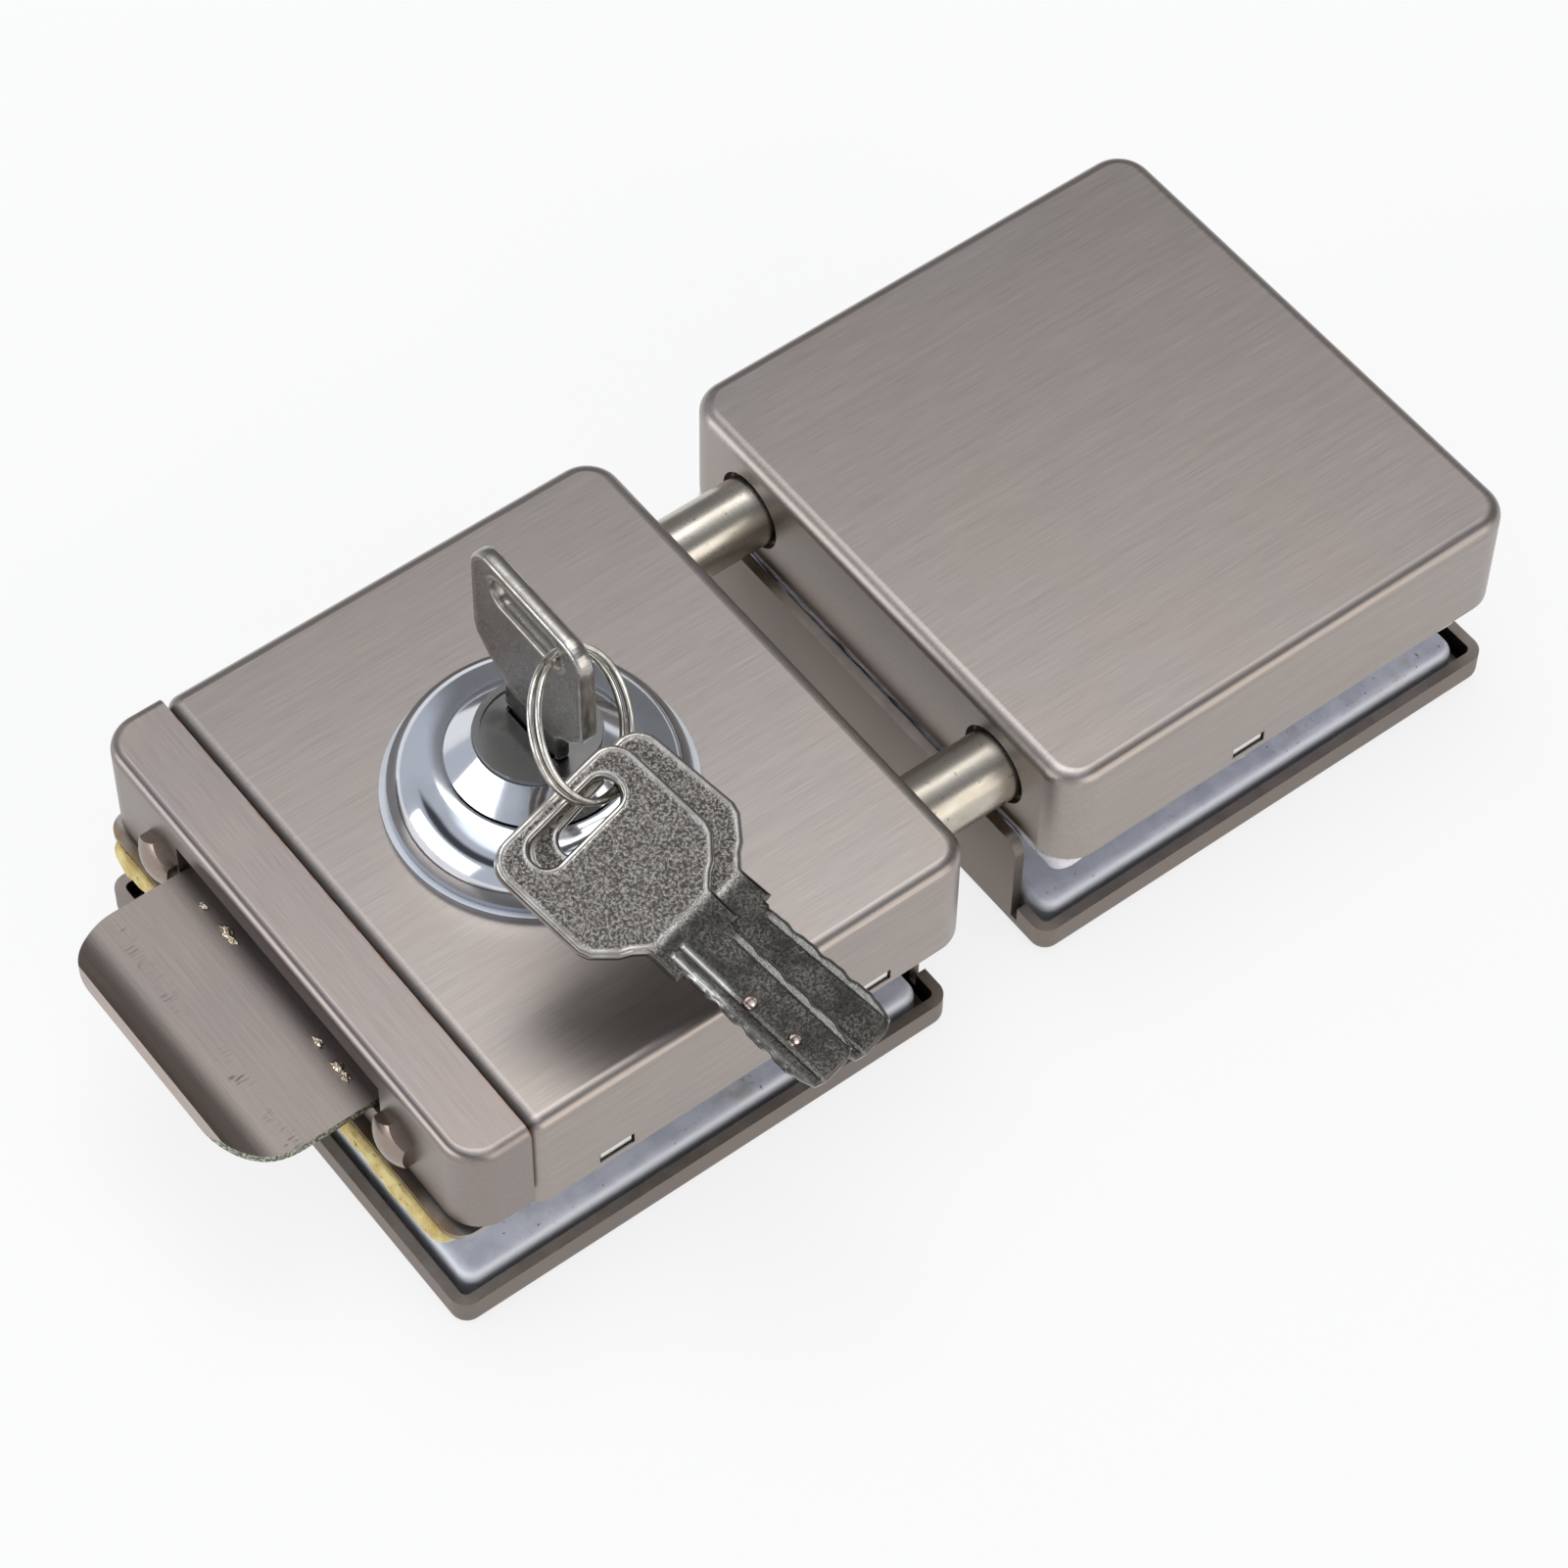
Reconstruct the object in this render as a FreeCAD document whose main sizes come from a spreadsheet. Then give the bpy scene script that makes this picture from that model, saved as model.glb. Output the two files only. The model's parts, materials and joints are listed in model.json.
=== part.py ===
"""Clamp-on lock for a pair of glass doors: a lock box and a strike box, joined by two round bolts.

Millimetres, +Z up. The lock lies on its two rear covers. The origin is where the axis of the key
cylinder meets the plane of the rear faces. +X points from the lock box to the strike box, +Y from
front to back, and the key side faces +Z.
"""

import FreeCAD, Part
import math
import os
import re
import Sketcher

DEG_QUARTER = 90.0
CLOSE = 1e-5
PIN_COUNT = 5
RING_TURNS = 2

# Every driving size: its name, its value in millimetres or degrees, and what it measures.
SIZES = [
    ("box_depth", 80.0, "both front covers, front to back"),
    ("cap_left", 39.8, "cylinder axis to the outer left wall of the end cap"),
    ("seam_left", 30.0, "cylinder axis to the left wall of the lock cover"),
    ("seam_gap", 0.2, "end cap to lock cover, closed"),
    ("lock_right", 37.5, "cylinder axis to the right wall of the lock cover"),
    ("door_gap", 14.5, "lock cover to strike cover"),
    ("strike_width", 75.0, "strike cover, left to right"),
    ("cover_height", 16.3, "front covers, base plate to top"),
    ("cover_wall", 1.2, "sheet of the front covers"),
    ("corner_round", 5.0, "upright corners of the front covers"),
    ("seam_round", 2.2, "upright corners of the lock cover beside the end cap"),
    ("top_round", 2.0, "top edges of the front covers"),
    ("catch_length", 5.2, "catch window, along the wall"),
    ("catch_height", 1.9, "catch window, upwards"),
    ("catch_rise", 1.0, "base plate to the middle of a catch window"),
    ("catch_far", 17.8, "cylinder axis to the left catch window of the lock"),
    ("catch_near", 21.8, "cylinder axis to the right catch window of the lock"),
    ("strike_catch", 30.9, "left wall of the strike to its catch window"),
    ("catch_play", 0.3, "snap tab to the edge of its window"),
    ("glass_gap", 10.3, "space for a 10 mm glass door"),
    ("pad_thick", 3.0, "glass pad"),
    ("base_thick", 0.9, "base plate sheet"),
    ("base_reach", 1.25, "base plate beyond the end cap"),
    ("pad_reach", 1.25, "glass pad beyond the base plate"),
    ("pad_inset", 3.3, "glass pad of the lock inside the covers, front and back"),
    ("strike_pad_inset", 1.0, "glass pad of the strike inside its cover, front and back"),
    ("pad_play", 0.4, "glass pad to the closing wall"),
    ("pad_back", 1.0, "glass pad of the strike inside the far wall of its cover"),
    ("pad_round", 2.0, "upright corners of the glass pads"),
    ("plate_round", 3.0, "upright corners of the base plate of the lock, at its left end"),
    ("flange_height", 5.8, "upturned edges of the base plate"),
    ("sheet_play", 0.1, "base plate flange to the cover wall"),
    ("rear_thick", 1.5, "sheet of the rear covers"),
    ("rear_width", 76.6, "rear cover, left to right"),
    ("rear_inset", 0.3, "rear cover inside the front cover, front and back"),
    ("rear_shift", 2.5, "rear cover of the lock beyond the box, to the left"),
    ("strike_shift", 1.8, "rear cover of the strike beyond the box, to the left"),
    ("rim_height", 5.2, "low rim of the rear covers"),
    ("rear_round", 2.4, "upright corners of the rear covers"),
    ("rear_bend", 1.9, "bottom edges of the rear covers"),
    ("closing_top", 17.8, "top of the wall that closes the glass slot"),
    ("closing_inset", 6.6, "closing wall to the ends of the rear cover"),
    ("closing_round", 2.5, "top corners of the closing wall"),
    ("notch_width", 1.2, "corner notch beside the closing wall"),
    ("notch_floor", 2.6, "bottom of the corner notch"),
    ("clamp_top", 5.5, "top of the clamp plates, where the glass lies"),
    ("clamp_sheet", 1.5, "clamp plate sheet"),
    ("clamp_play", 1.15, "clamp plate to the rim of the rear cover"),
    ("clamp_bend", 1.7, "top edges of the clamp plates"),
    ("clamp_round", 2.5, "upright corners of the clamp plates"),
    ("screw_radius", 2.0, "clamp screw"),
    ("screw_play", 0.2, "clamp screw to its holes"),
    ("screw_head", 3.6, "clamp screw head"),
    ("screw_head_height", 2.0, "clamp screw head"),
    ("screw_back", 9.6, "clamp screws behind the closing wall"),
    ("screw_half", 13.0, "clamp screws to the middle line"),
    ("sleeve_radius", 3.5, "spacer sleeve on a clamp screw"),
    ("nut_flat", 7.0, "clamp nut across its flats"),
    ("nut_height", 2.6, "clamp nut"),
    ("rod_radius", 5.0, "round bolts"),
    ("rod_inset", 14.35, "axis of a round bolt inside the covers, front and back"),
    ("rod_drop", 9.7, "round bolts below the top of the covers"),
    ("rod_reach", 9.5, "round bolts inside the strike, thrown"),
    ("rod_nose", 1.0, "chamfer at the tip of a bolt"),
    ("wall_play", 0.75, "round bolt to its hole in a cover"),
    ("throw", 24.0, "travel of the bolts"),
    ("cap_proud", 0.1, "end cap beside the front and back of the lock cover"),
    ("cap_rise", 0.6, "end cap above the lock cover"),
    ("cap_lift", 1.3, "end cap above the base plate"),
    ("cap_round", 5.2, "upright corners of the end cap"),
    ("cap_edge", 1.5, "top edges of the end cap"),
    ("tab_front_gap", 5.45, "axis of the front cap screw to the pull tab"),
    ("tab_rear_gap", 3.85, "axis of the rear cap screw to the pull tab"),
    ("tab_reach", 19.0, "pull tab beyond the end cap"),
    ("tab_thick", 1.2, "pull tab sheet"),
    ("tab_curl", 9.0, "outer radius of the curled edge of the pull tab"),
    ("tab_curl_angle", 40.0, "turn of the curled edge of the pull tab, degrees"),
    ("tab_round", 8.8, "outer corners of the pull tab"),
    ("tab_play", 0.3, "pull tab to its window"),
    ("window_front", 1.6, "window in the end cap beyond the front edge of the tab"),
    ("window_height", 6.2, "window in the end cap, above the underside of the tab"),
    ("yoke_thick", 2.0, "yoke that carries the bolts"),
    ("yoke_inset", 9.0, "yoke inside the covers, front and back"),
    ("yoke_below", 4.8, "yoke below the bolt axis"),
    ("yoke_above", 6.5, "yoke above the bolt axis"),
    ("stud_radius", 2.5, "shank of a cap screw"),
    ("stud_play", 0.1, "cap screw to its holes"),
    ("stud_depth", 9.0, "cap screw inside a bolt"),
    ("hex_flat", 6.5, "hex head of a cap screw across its flats"),
    ("hex_height", 2.8, "hex head of a cap screw"),
    ("hex_dome", 5.5, "radius of the dome on a cap screw"),
    ("guide_thick", 2.0, "guide brackets"),
    ("guide_left", 25.0, "cylinder axis to the left guide bracket"),
    ("guide_right", 31.5, "cylinder axis to the right guide bracket"),
    ("guide_inset", 6.0, "guide brackets inside the covers, front and back"),
    ("guide_height", 13.6, "guide brackets"),
    ("foot_length", 5.0, "foot of a bracket"),
    ("foot_half", 8.0, "foot of a bracket, middle to its ends"),
    ("bush_radius", 6.4, "bolt bush, outside"),
    ("bush_length", 5.0, "bolt bush"),
    ("bush_play", 0.06, "round bolt to its bush"),
    ("keeper_play", 0.4, "round bolt to a bush of the strike"),
    ("keeper_back", 2.9, "left wall of the strike to its keeper"),
    ("rosette_radius", 20.0, "chrome rosette"),
    ("rosette_height", 8.2, "chrome rosette above the cover"),
    ("rosette_rim", 0.8, "rim round the foot of the rosette"),
    ("rosette_rim_height", 1.0, "rim round the foot of the rosette"),
    ("rosette_dome", 7.0, "rounding of the rosette"),
    ("hollow_radius", 15.5, "hollow under the rosette"),
    ("hollow_height", 5.0, "hollow under the rosette"),
    ("barrel_radius", 11.0, "cylinder body"),
    ("barrel_flange", 11.7, "head of the cylinder body"),
    ("barrel_flange_height", 5.2, "head of the cylinder body"),
    ("barrel_slope", 3.5, "bevel of the head of the cylinder body, up to the plug"),
    ("barrel_proud", 3.8, "cylinder body above the rosette"),
    ("barrel_bottom", 3.9, "base plate to the cylinder body"),
    ("barrel_play", 0.2, "cylinder body to the rosette and the cover"),
    ("nut_wide", 26.0, "nut of the cylinder across its flats"),
    ("nut_deep", 3.5, "nut of the cylinder"),
    ("thread_play", 0.05, "nuts to their threads"),
    ("plug_radius", 7.5, "plug that the key turns"),
    ("plug_play", 0.06, "plug to the cylinder body"),
    ("plug_head", 8.0, "head of the plug"),
    ("plug_head_height", 1.6, "head of the plug"),
    ("plug_proud", 0.8, "plug above the cylinder body"),
    ("plug_rim", 0.9, "raised ring round the face of the plug"),
    ("plug_recess", 0.35, "face of the plug below its ring"),
    ("pin_first", 10.6, "base plate to the lowest tumbler pin"),
    ("pin_pitch", 3.4, "tumbler pins, one to the next"),
    ("pin_radius", 1.0, "tumbler pins"),
    ("pin_play", 0.06, "tumbler pins to their holes"),
    ("pin_shear", 0.15, "tumbler pins to the surface of the plug"),
    ("driver_length", 1.6, "driver pins"),
    ("spring_length", 1.1, "springs of the driver pins, pressed"),
    ("cam_radius", 8.8, "cam under the plug"),
    ("cam_thick", 1.4, "cam under the plug"),
    ("cam_bottom", 2.2, "base plate to the cam"),
    ("crank_radius", 3.5, "cylinder axis to the pins of the cam"),
    ("crank_angle", 45.0, "pins of the cam from the X axis, degrees"),
    ("crank_pin", 1.25, "pins of the cam"),
    ("cam_screw_radius", 0.9, "screws of the cam"),
    ("cam_screw_reach", 5.0, "screws of the cam to the cylinder axis"),
    ("cam_screw_length", 4.6, "screws of the cam"),
    ("bar_thick", 1.6, "locking bars"),
    ("bar_lift", 0.3, "locking bars above the base plate"),
    ("bar_inner", 0.6, "middle line to the near edge of a locking bar"),
    ("bar_outer", 7.5, "middle line to the far edge of a locking bar"),
    ("bar_tail", 5.5, "locking bar past the cylinder axis"),
    ("bar_back", 6.15, "axis of a round bolt to the end of a locking bar, open"),
    ("bar_slot_play", 0.25, "pins of the cam to their slots"),
    ("lug_width", 5.4, "lug of a locking bar"),
    ("lug_thick", 3.0, "lug of a locking bar"),
    ("lug_height", 8.0, "lug of a locking bar above the base plate"),
    ("notch_play", 0.9, "lug to its notch in a bolt, each side and above"),
    ("notch_depth", 4.5, "notch in a bolt"),
    ("strap_inner", 9.6, "cylinder axis to the strap over a locking bar"),
    ("strap_length", 3.6, "strap over a locking bar"),
    ("strap_thick", 1.0, "strap over a locking bar"),
    ("strap_play", 0.3, "strap to the locking bars"),
    ("key_thick", 2.2, "keys"),
    ("head_width", 22.6, "head of a key"),
    ("head_height", 21.4, "head of a key"),
    ("head_chamfer", 4.0, "lower corners of the head of a key"),
    ("head_slope", 1.4, "rise of the lower edge of the head of a key"),
    ("head_round", 3.6, "top corners of the head of a key"),
    ("root_width", 11.0, "blade of a key above its stop"),
    ("root_length", 4.7, "blade of a key above its stop"),
    ("blade_width", 8.8, "blade of a key"),
    ("blade_length", 25.6, "blade of a key with its root"),
    ("tip_chamfer", 2.4, "tip of a key"),
    ("slot_length", 14.2, "ring slot of a key"),
    ("slot_height", 4.3, "ring slot of a key"),
    ("slot_drop", 4.4, "ring slot below the top of the head"),
    ("groove_width", 1.3, "milled grooves of a blade"),
    ("groove_depth", 0.45, "milled grooves of a blade"),
    ("groove_offset", 2.0, "milled grooves to the middle of a blade"),
    ("key_play", 0.15, "key to its way in the plug"),
    ("key_seat", 0.1, "stop of the key above the plug"),
    ("ring_radius", 9.3, "split ring, to the middle of its wire"),
    ("ring_wire", 0.42, "wire radius of the split ring"),
    ("ring_pitch", 1.27, "one turn of the split ring to the next"),
    ("ring_left", 1.293, "cylinder axis to the middle of the split ring, leftwards"),
    ("ring_fore", 11.623, "cylinder axis to the middle of the split ring, forwards"),
    ("ring_drop", 7.159, "ring slot of the key in the plug to the middle of the split ring, downwards"),
    ("ring_heading", -55.555, "way that the split ring faces, degrees round +Z"),
    ("ring_tilt", 57.773, "axis of the split ring from +Z, degrees"),
    ("ring_start", -2.294, "first end of the wire, degrees round the ring"),
    ("spare_1_x", -6.994, "middle of the split ring to the slot of spare key 1"),
    ("spare_1_y", -7.8, "middle of the split ring to the slot of spare key 1"),
    ("spare_1_z", -5.637, "middle of the split ring to the slot of spare key 1"),
    ("spare_1_heading", -76.82, "spare key 1, way that its blade points, degrees round +Z"),
    ("spare_1_lean", 18.64, "spare key 1, blade below the level, degrees"),
    ("spare_1_roll", -8.0, "spare key 1, turn about its own length, degrees"),
    ("spare_2_x", -2.493, "middle of the split ring to the slot of spare key 2"),
    ("spare_2_y", -7.181, "middle of the split ring to the slot of spare key 2"),
    ("spare_2_z", -7.724, "middle of the split ring to the slot of spare key 2"),
    ("spare_2_heading", -73.47, "spare key 2, way that its blade points, degrees round +Z"),
    ("spare_2_lean", 18.16, "spare key 2, blade below the level, degrees"),
    ("spare_2_roll", -9.05, "spare key 2, turn about its own length, degrees"),
]

doc = FreeCAD.newDocument("glass_door_lock")
sheet = doc.addObject("Spreadsheet::Sheet", "Sizes")
for row, (alias, value, meaning) in enumerate(SIZES, start=1):
    sheet.set(f"A{row}", str(value))
    sheet.setAlias(f"A{row}", alias)
    sheet.set(f"B{row}", meaning)
doc.recompute()

# Levels and places that several pieces share, as expressions in the names of the sheet.
HALF = "(box_depth / 2)"
PAD_Z = "(clamp_top + glass_gap)"
BASE_Z = f"({PAD_Z} + pad_thick)"
DECK = f"({BASE_Z} + base_thick)"
TOP = f"({DECK} + cover_height)"
STRIKE_LEFT = "(lock_right + door_gap)"
STRIKE_RIGHT = f"({STRIKE_LEFT} + strike_width)"
REAR_RIGHT = "(lock_right - rear_shift)"
STRIKE_REAR_LEFT = f"({STRIKE_LEFT} - strike_shift)"
ROD_Y = f"({HALF} - rod_inset)"
ROD_Z = f"({TOP} - rod_drop)"
REAR_HALF = f"({HALF} - rear_inset)"
YOKE_HALF = f"({HALF} - yoke_inset)"
GUIDE_HALF = f"({HALF} - guide_inset)"
BAR_TIP = f"({ROD_Y} - bar_back)"
TAB_FRONT = f"(tab_front_gap - {ROD_Y})"
TAB_REAR = f"({ROD_Y} - tab_rear_gap)"
CAP_INNER = "(cap_left - cover_wall)"
YOKE_RIGHT = f"({CAP_INNER} - yoke_thick)"
ROD_TIP = f"({STRIKE_LEFT} + rod_reach)"
TAB_Z = f"({ROD_Z} - tab_thick / 4)"
LOCK_SCREW_X = f"({REAR_RIGHT} - rear_thick - screw_back)"
STRIKE_SCREW_X = f"({STRIKE_REAR_LEFT} + rear_thick + screw_back)"
ROSETTE_TOP = f"({TOP} + rosette_height)"
BARREL_TOP = f"({ROSETTE_TOP} + barrel_proud)"
FLANGE_Z = f"({BARREL_TOP} - barrel_flange_height)"
BARREL_Z = f"({DECK} + barrel_bottom)"
CAM_Z = f"({DECK} + cam_bottom)"
PLUG_Z = f"({CAM_Z} + cam_thick)"
PLUG_TOP = f"({BARREL_TOP} + plug_proud)"
PLUG_HEAD_Z = f"({PLUG_TOP} - plug_head_height)"
KEY_ROOT = f"({PLUG_TOP} + key_seat + root_length)"
KEY_TIP = f"({KEY_ROOT} - blade_length)"
SLOT_RISE = "(head_height - slot_drop)"
RING_CENTRE = ("(-ring_left)", "(-ring_fore)", f"({KEY_ROOT} + {SLOT_RISE} - ring_drop)")
BAR_Z = f"({DECK} + bar_lift)"
BAR_TOP = f"({BAR_Z} + bar_thick)"
CRANK_X = "(crank_radius * cos(crank_angle))"
CRANK_Y = "(crank_radius * sin(crank_angle))"
SLOT_HALF = "(crank_pin + bar_slot_play)"
LUG_X = "((bar_inner + bar_outer) / 2)"
CURL_X = "(tab_curl * sin(tab_curl_angle) - cap_left - tab_reach)"
DRIVER_START = "(plug_radius + pin_shear)"
DRIVER_END = f"({DRIVER_START} + driver_length)"
SPRING_END = f"({DRIVER_END} + spring_length)"
LUG_TOP = f"({DECK} + lug_height)"
CENTRE = ("0", "0")

# The width of a hexagon across its flats, over the radius of its corners.
HEX_RATIO = "(2 * cos(30))"

UP = FreeCAD.Vector(0, 0, 1)
DOWN = FreeCAD.Vector(0, 0, -1)
RIGHT = FreeCAD.Vector(1, 0, 0)
BACK = FreeCAD.Vector(0, 1, 0)

nodes = {}


def size(alias):
    """The number in one named cell of the sheet."""
    return float(sheet.get(alias))


def bind(text):
    """An expression in the sheet's names, spelt as the document needs it."""
    return re.sub(r"\b(?!(?:sin|cos)\b)([a-z][a-z_0-9]*)\b", r"Sizes.\1", text)


def minus(text):
    """The negative of an expression."""
    return f"-({text})"


def side_span(side, inner, outer):
    """The two ends of a stretch between inner and outer, on the plus or the minus side."""
    return (inner, outer) if side > 0 else (minus(outer), minus(inner))


def name_end(side):
    """The name of the plus or minus Y end."""
    return "rear" if side > 0 else "front"


def name_side(side):
    """The name of the plus or minus X side."""
    return "right" if side > 0 else "left"


def pin_level(index):
    """The height of one tumbler pin."""
    return f"({DECK} + pin_first + {index} * pin_pitch)"


def turn_to(axis):
    """The rotation that takes +Z to +X, +Y or +Z."""
    return FreeCAD.Rotation(UP, {"X": RIGHT, "Y": BACK, "Z": UP}[axis])


def set_block(block, x, y, z):
    """Bind the sides of a box to three stretches."""
    for prop, place, (low, high) in (("Length", "x", x), ("Width", "y", y), ("Height", "z", z)):
        block.setExpression(prop, bind(f"({high}) - ({low})"))
        block.setExpression(f"Placement.Base.{place}", bind(low))


def set_round(round_piece, axis, centre, span, radius):
    """Bind a cylinder along an axis: its two cross places, its stretch and its radius."""
    round_piece.Placement = FreeCAD.Placement(FreeCAD.Vector(), turn_to(axis))
    cross = [letter for letter in "xyz" if letter != axis.lower()]
    for letter, place in zip(cross, centre):
        round_piece.setExpression(f"Placement.Base.{letter}", bind(place))
    round_piece.setExpression(f"Placement.Base.{axis.lower()}", bind(span[0]))
    round_piece.setExpression("Height", bind(f"({span[1]}) - ({span[0]})"))
    round_piece.setExpression("Radius", bind(radius))


def straight(edge, axis):
    """Whether an edge is a straight line along an axis."""
    if not isinstance(edge.Curve, Part.Line):
        return False
    return abs(abs(getattr(edge.Curve.Direction, axis)) - 1) < CLOSE


def upright(side=0):
    """Upright edges, all of them or those on the plus or minus X side of the piece."""
    def choose(shape):
        middle = sum(v.X for v in shape.Vertexes) / len(shape.Vertexes)
        return [
            edge for edge in shape.Edges
            if straight(edge, "z") and (side == 0 or (edge.CenterOfMass.x - middle) * side > 0)
        ]
    return choose


def flat_at(shape, level):
    """The edges that lie in the plane z = level."""
    return [e for e in shape.Edges if all(abs(v.Z - level) < CLOSE for v in e.Vertexes)
            and abs(e.CenterOfMass.z - level) < CLOSE]


def top_edges(shape):
    """The edges in the top plane of a piece."""
    return flat_at(shape, max(v.Z for v in shape.Vertexes))


def bottom_edges(shape):
    """The edges in the bottom plane of a piece."""
    return flat_at(shape, min(v.Z for v in shape.Vertexes))


def face_towards(direction):
    """The flat face that lies furthest out in a direction."""
    def choose(shape):
        flat = [f for f in shape.Faces if isinstance(f.Surface, Part.Plane)]
        facing = [f for f in flat if f.normalAt(0, 0).dot(direction) > 1 - CLOSE]
        return [max(facing, key=lambda f: f.CenterOfMass.dot(direction))]
    return choose


class Piece:
    """One sub-part, built as a PartDesign body from bound boxes, cylinders, sketches and fillets."""

    def __init__(self, label):
        self.label = label
        self.body = doc.addObject("PartDesign::Body", label)
        self.body.Label = label
        nodes[label] = self.body

    def feature(self, kind, name):
        return self.body.newObject(f"PartDesign::{kind}", f"{self.label}_{name}")

    def box(self, name, x, y, z, cut=False):
        block = self.feature("SubtractiveBox" if cut else "AdditiveBox", name)
        set_block(block, x, y, z)
        return self

    def cylinder(self, name, axis, centre, span, radius, cut=False):
        kind = "SubtractiveCylinder" if cut else "AdditiveCylinder"
        set_round(self.feature(kind, name), axis, centre, span, radius)
        return self

    def pick(self, choose, kind):
        """The names of the chosen edges or faces of the body so far."""
        doc.recompute()
        tip = self.body.Tip
        whole = tip.Shape.Edges if kind == "Edge" else tip.Shape.Faces
        chosen = choose(tip.Shape)
        names = [f"{kind}{i}" for i, item in enumerate(whole, start=1)
                 if any(item.isSame(other) for other in chosen)]
        return (tip, names)

    def fillet(self, name, radius, choose):
        base = self.pick(choose, "Edge")
        rounded = self.feature("Fillet", name)
        rounded.Base = base
        rounded.setExpression("Radius", bind(radius))
        return self

    def chamfer(self, name, length, choose):
        base = self.pick(choose, "Edge")
        bevel = self.feature("Chamfer", name)
        bevel.Base = base
        bevel.setExpression("Size", bind(length))
        return self

    def hollow(self, name, wall, choose):
        """Turn the body into a shell of one wall, open at the chosen faces."""
        base = self.pick(choose, "Face")
        shell = self.feature("Thickness", name)
        shell.Base = base
        shell.Reversed = True
        shell.setExpression("Value", bind(wall))
        return self

    def outline(self, name, role, points):
        """A closed sketch on one of the body's own planes, each corner bound to the sheet."""
        sketch = self.body.newObject("Sketcher::SketchObject", f"{self.label}_{name}")
        plane = [item for item in self.body.Origin.OriginFeatures if item.Role == role][0]
        sketch.AttachmentSupport = (plane, [""])
        sketch.MapMode = "FlatFace"
        count = len(points)
        start = [turn_point(i, count) for i in range(count)]
        for i in range(count):
            sketch.addGeometry(Part.LineSegment(start[i], start[(i + 1) % count]), False)
        for i in range(count):
            sketch.addConstraint(Sketcher.Constraint("Coincident", i, 2, (i + 1) % count, 1))
        for i, corner in enumerate(points):
            for kind, place, first in (("DistanceX", corner[0], start[i].x),
                                       ("DistanceY", corner[1], start[i].y)):
                index = sketch.addConstraint(Sketcher.Constraint(kind, -1, 1, i, 1, first))
                sketch.setExpression(f"Constraints[{index}]", bind(place))
        return sketch

    def pad(self, name, sketch, thickness):
        """A plate of the sketch's outline, half its thickness on each side of the plane."""
        plate = self.feature("Pad", name)
        plate.Profile = sketch
        plate.Midplane = True
        plate.setExpression("Length", bind(thickness))
        return self


def turn_point(index, count):
    """A first place for one corner of a sketch, before its constraints move it."""
    radius = 5.0
    corner = FreeCAD.Vector(radius, 0, 0)
    return FreeCAD.Rotation(UP, 360.0 * index / count).multVec(corner)


def loose_box(name, x, y, z):
    """A bound box outside any body."""
    block = doc.addObject("Part::Box", name)
    set_block(block, x, y, z)
    return block


def loose_cylinder(name, axis, centre, span, radius):
    """A bound cylinder outside any body."""
    round_piece = doc.addObject("Part::Cylinder", name)
    set_round(round_piece, axis, centre, span, radius)
    return round_piece


def loose_sphere(name, centre, radius):
    """A bound ball outside any body, with its poles along X, where no cut meets them."""
    ball = doc.addObject("Part::Sphere", name)
    ball.Placement.Rotation = turn_to("X")
    for letter, place in zip("xyz", centre):
        ball.setExpression(f"Placement.Base.{letter}", bind(place))
    ball.setExpression("Radius", bind(radius))
    return ball


def combine(kind, name, first, second):
    """A cut or a common of two loose pieces."""
    result = doc.addObject(f"Part::{kind}", name)
    result.Base = first
    result.Tool = second
    return result


def tube(name, axis, centre, span, outer, inner):
    """A round piece with a bore along its axis."""
    outside = loose_cylinder(f"{name}_outside", axis, centre, span, outer)
    bore_span = (f"({span[0]}) - rear_thick", f"({span[1]}) + rear_thick")
    bore = loose_cylinder(f"{name}_bore", axis, centre, bore_span, inner)
    return combine("Cut", name, outside, bore)


def fuse(name, parts):
    """Several loose pieces joined into one solid."""
    whole = doc.addObject("Part::MultiFuse", name)
    whole.Shapes = parts
    return whole


def register(label, item):
    """Make an object one node of the assembly."""
    item.Label = label
    nodes[label] = item


def group(label, parts):
    """One node that holds several alike pieces."""
    node = doc.addObject("Part::Compound", f"{label}_set")
    node.Links = parts
    register(label, node)


def hex_prism(name, axis, centre, span, flat):
    """A hexagonal piece of a given width across its flats."""
    prism = doc.addObject("Part::Prism", name)
    prism.Polygon = 6
    prism.Placement = FreeCAD.Placement(FreeCAD.Vector(), turn_to(axis))
    cross = [letter for letter in "xyz" if letter != axis.lower()]
    for letter, place in zip(cross, centre):
        prism.setExpression(f"Placement.Base.{letter}", bind(place))
    prism.setExpression(f"Placement.Base.{axis.lower()}", bind(span[0]))
    prism.setExpression("Height", bind(f"({span[1]}) - ({span[0]})"))
    prism.setExpression("Circumradius", bind(f"({flat}) / {HEX_RATIO}"))
    return prism


def catch_windows(piece, places):
    """Catch windows through the front and the back wall of a cover."""
    for i, place in enumerate(places):
        for side in (-1, 1):
            piece.box(
                f"window_{i}_{name_end(side)}",
                (f"{place} - catch_length / 2", f"{place} + catch_length / 2"),
                side_span(side, f"{HALF} - cover_wall * 2", f"{HALF} + cover_wall"),
                (f"{DECK} + catch_rise - catch_height / 2", f"{DECK} + catch_rise + catch_height / 2"),
                cut=True,
            )


def rod_holes(piece, name, span, radius):
    """A pair of holes for the two round bolts."""
    for side in (-1, 1):
        place = (f"{side} * {ROD_Y}", ROD_Z)
        piece.cylinder(f"{name}_{name_end(side)}", "X", place, span, radius, cut=True)


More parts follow.
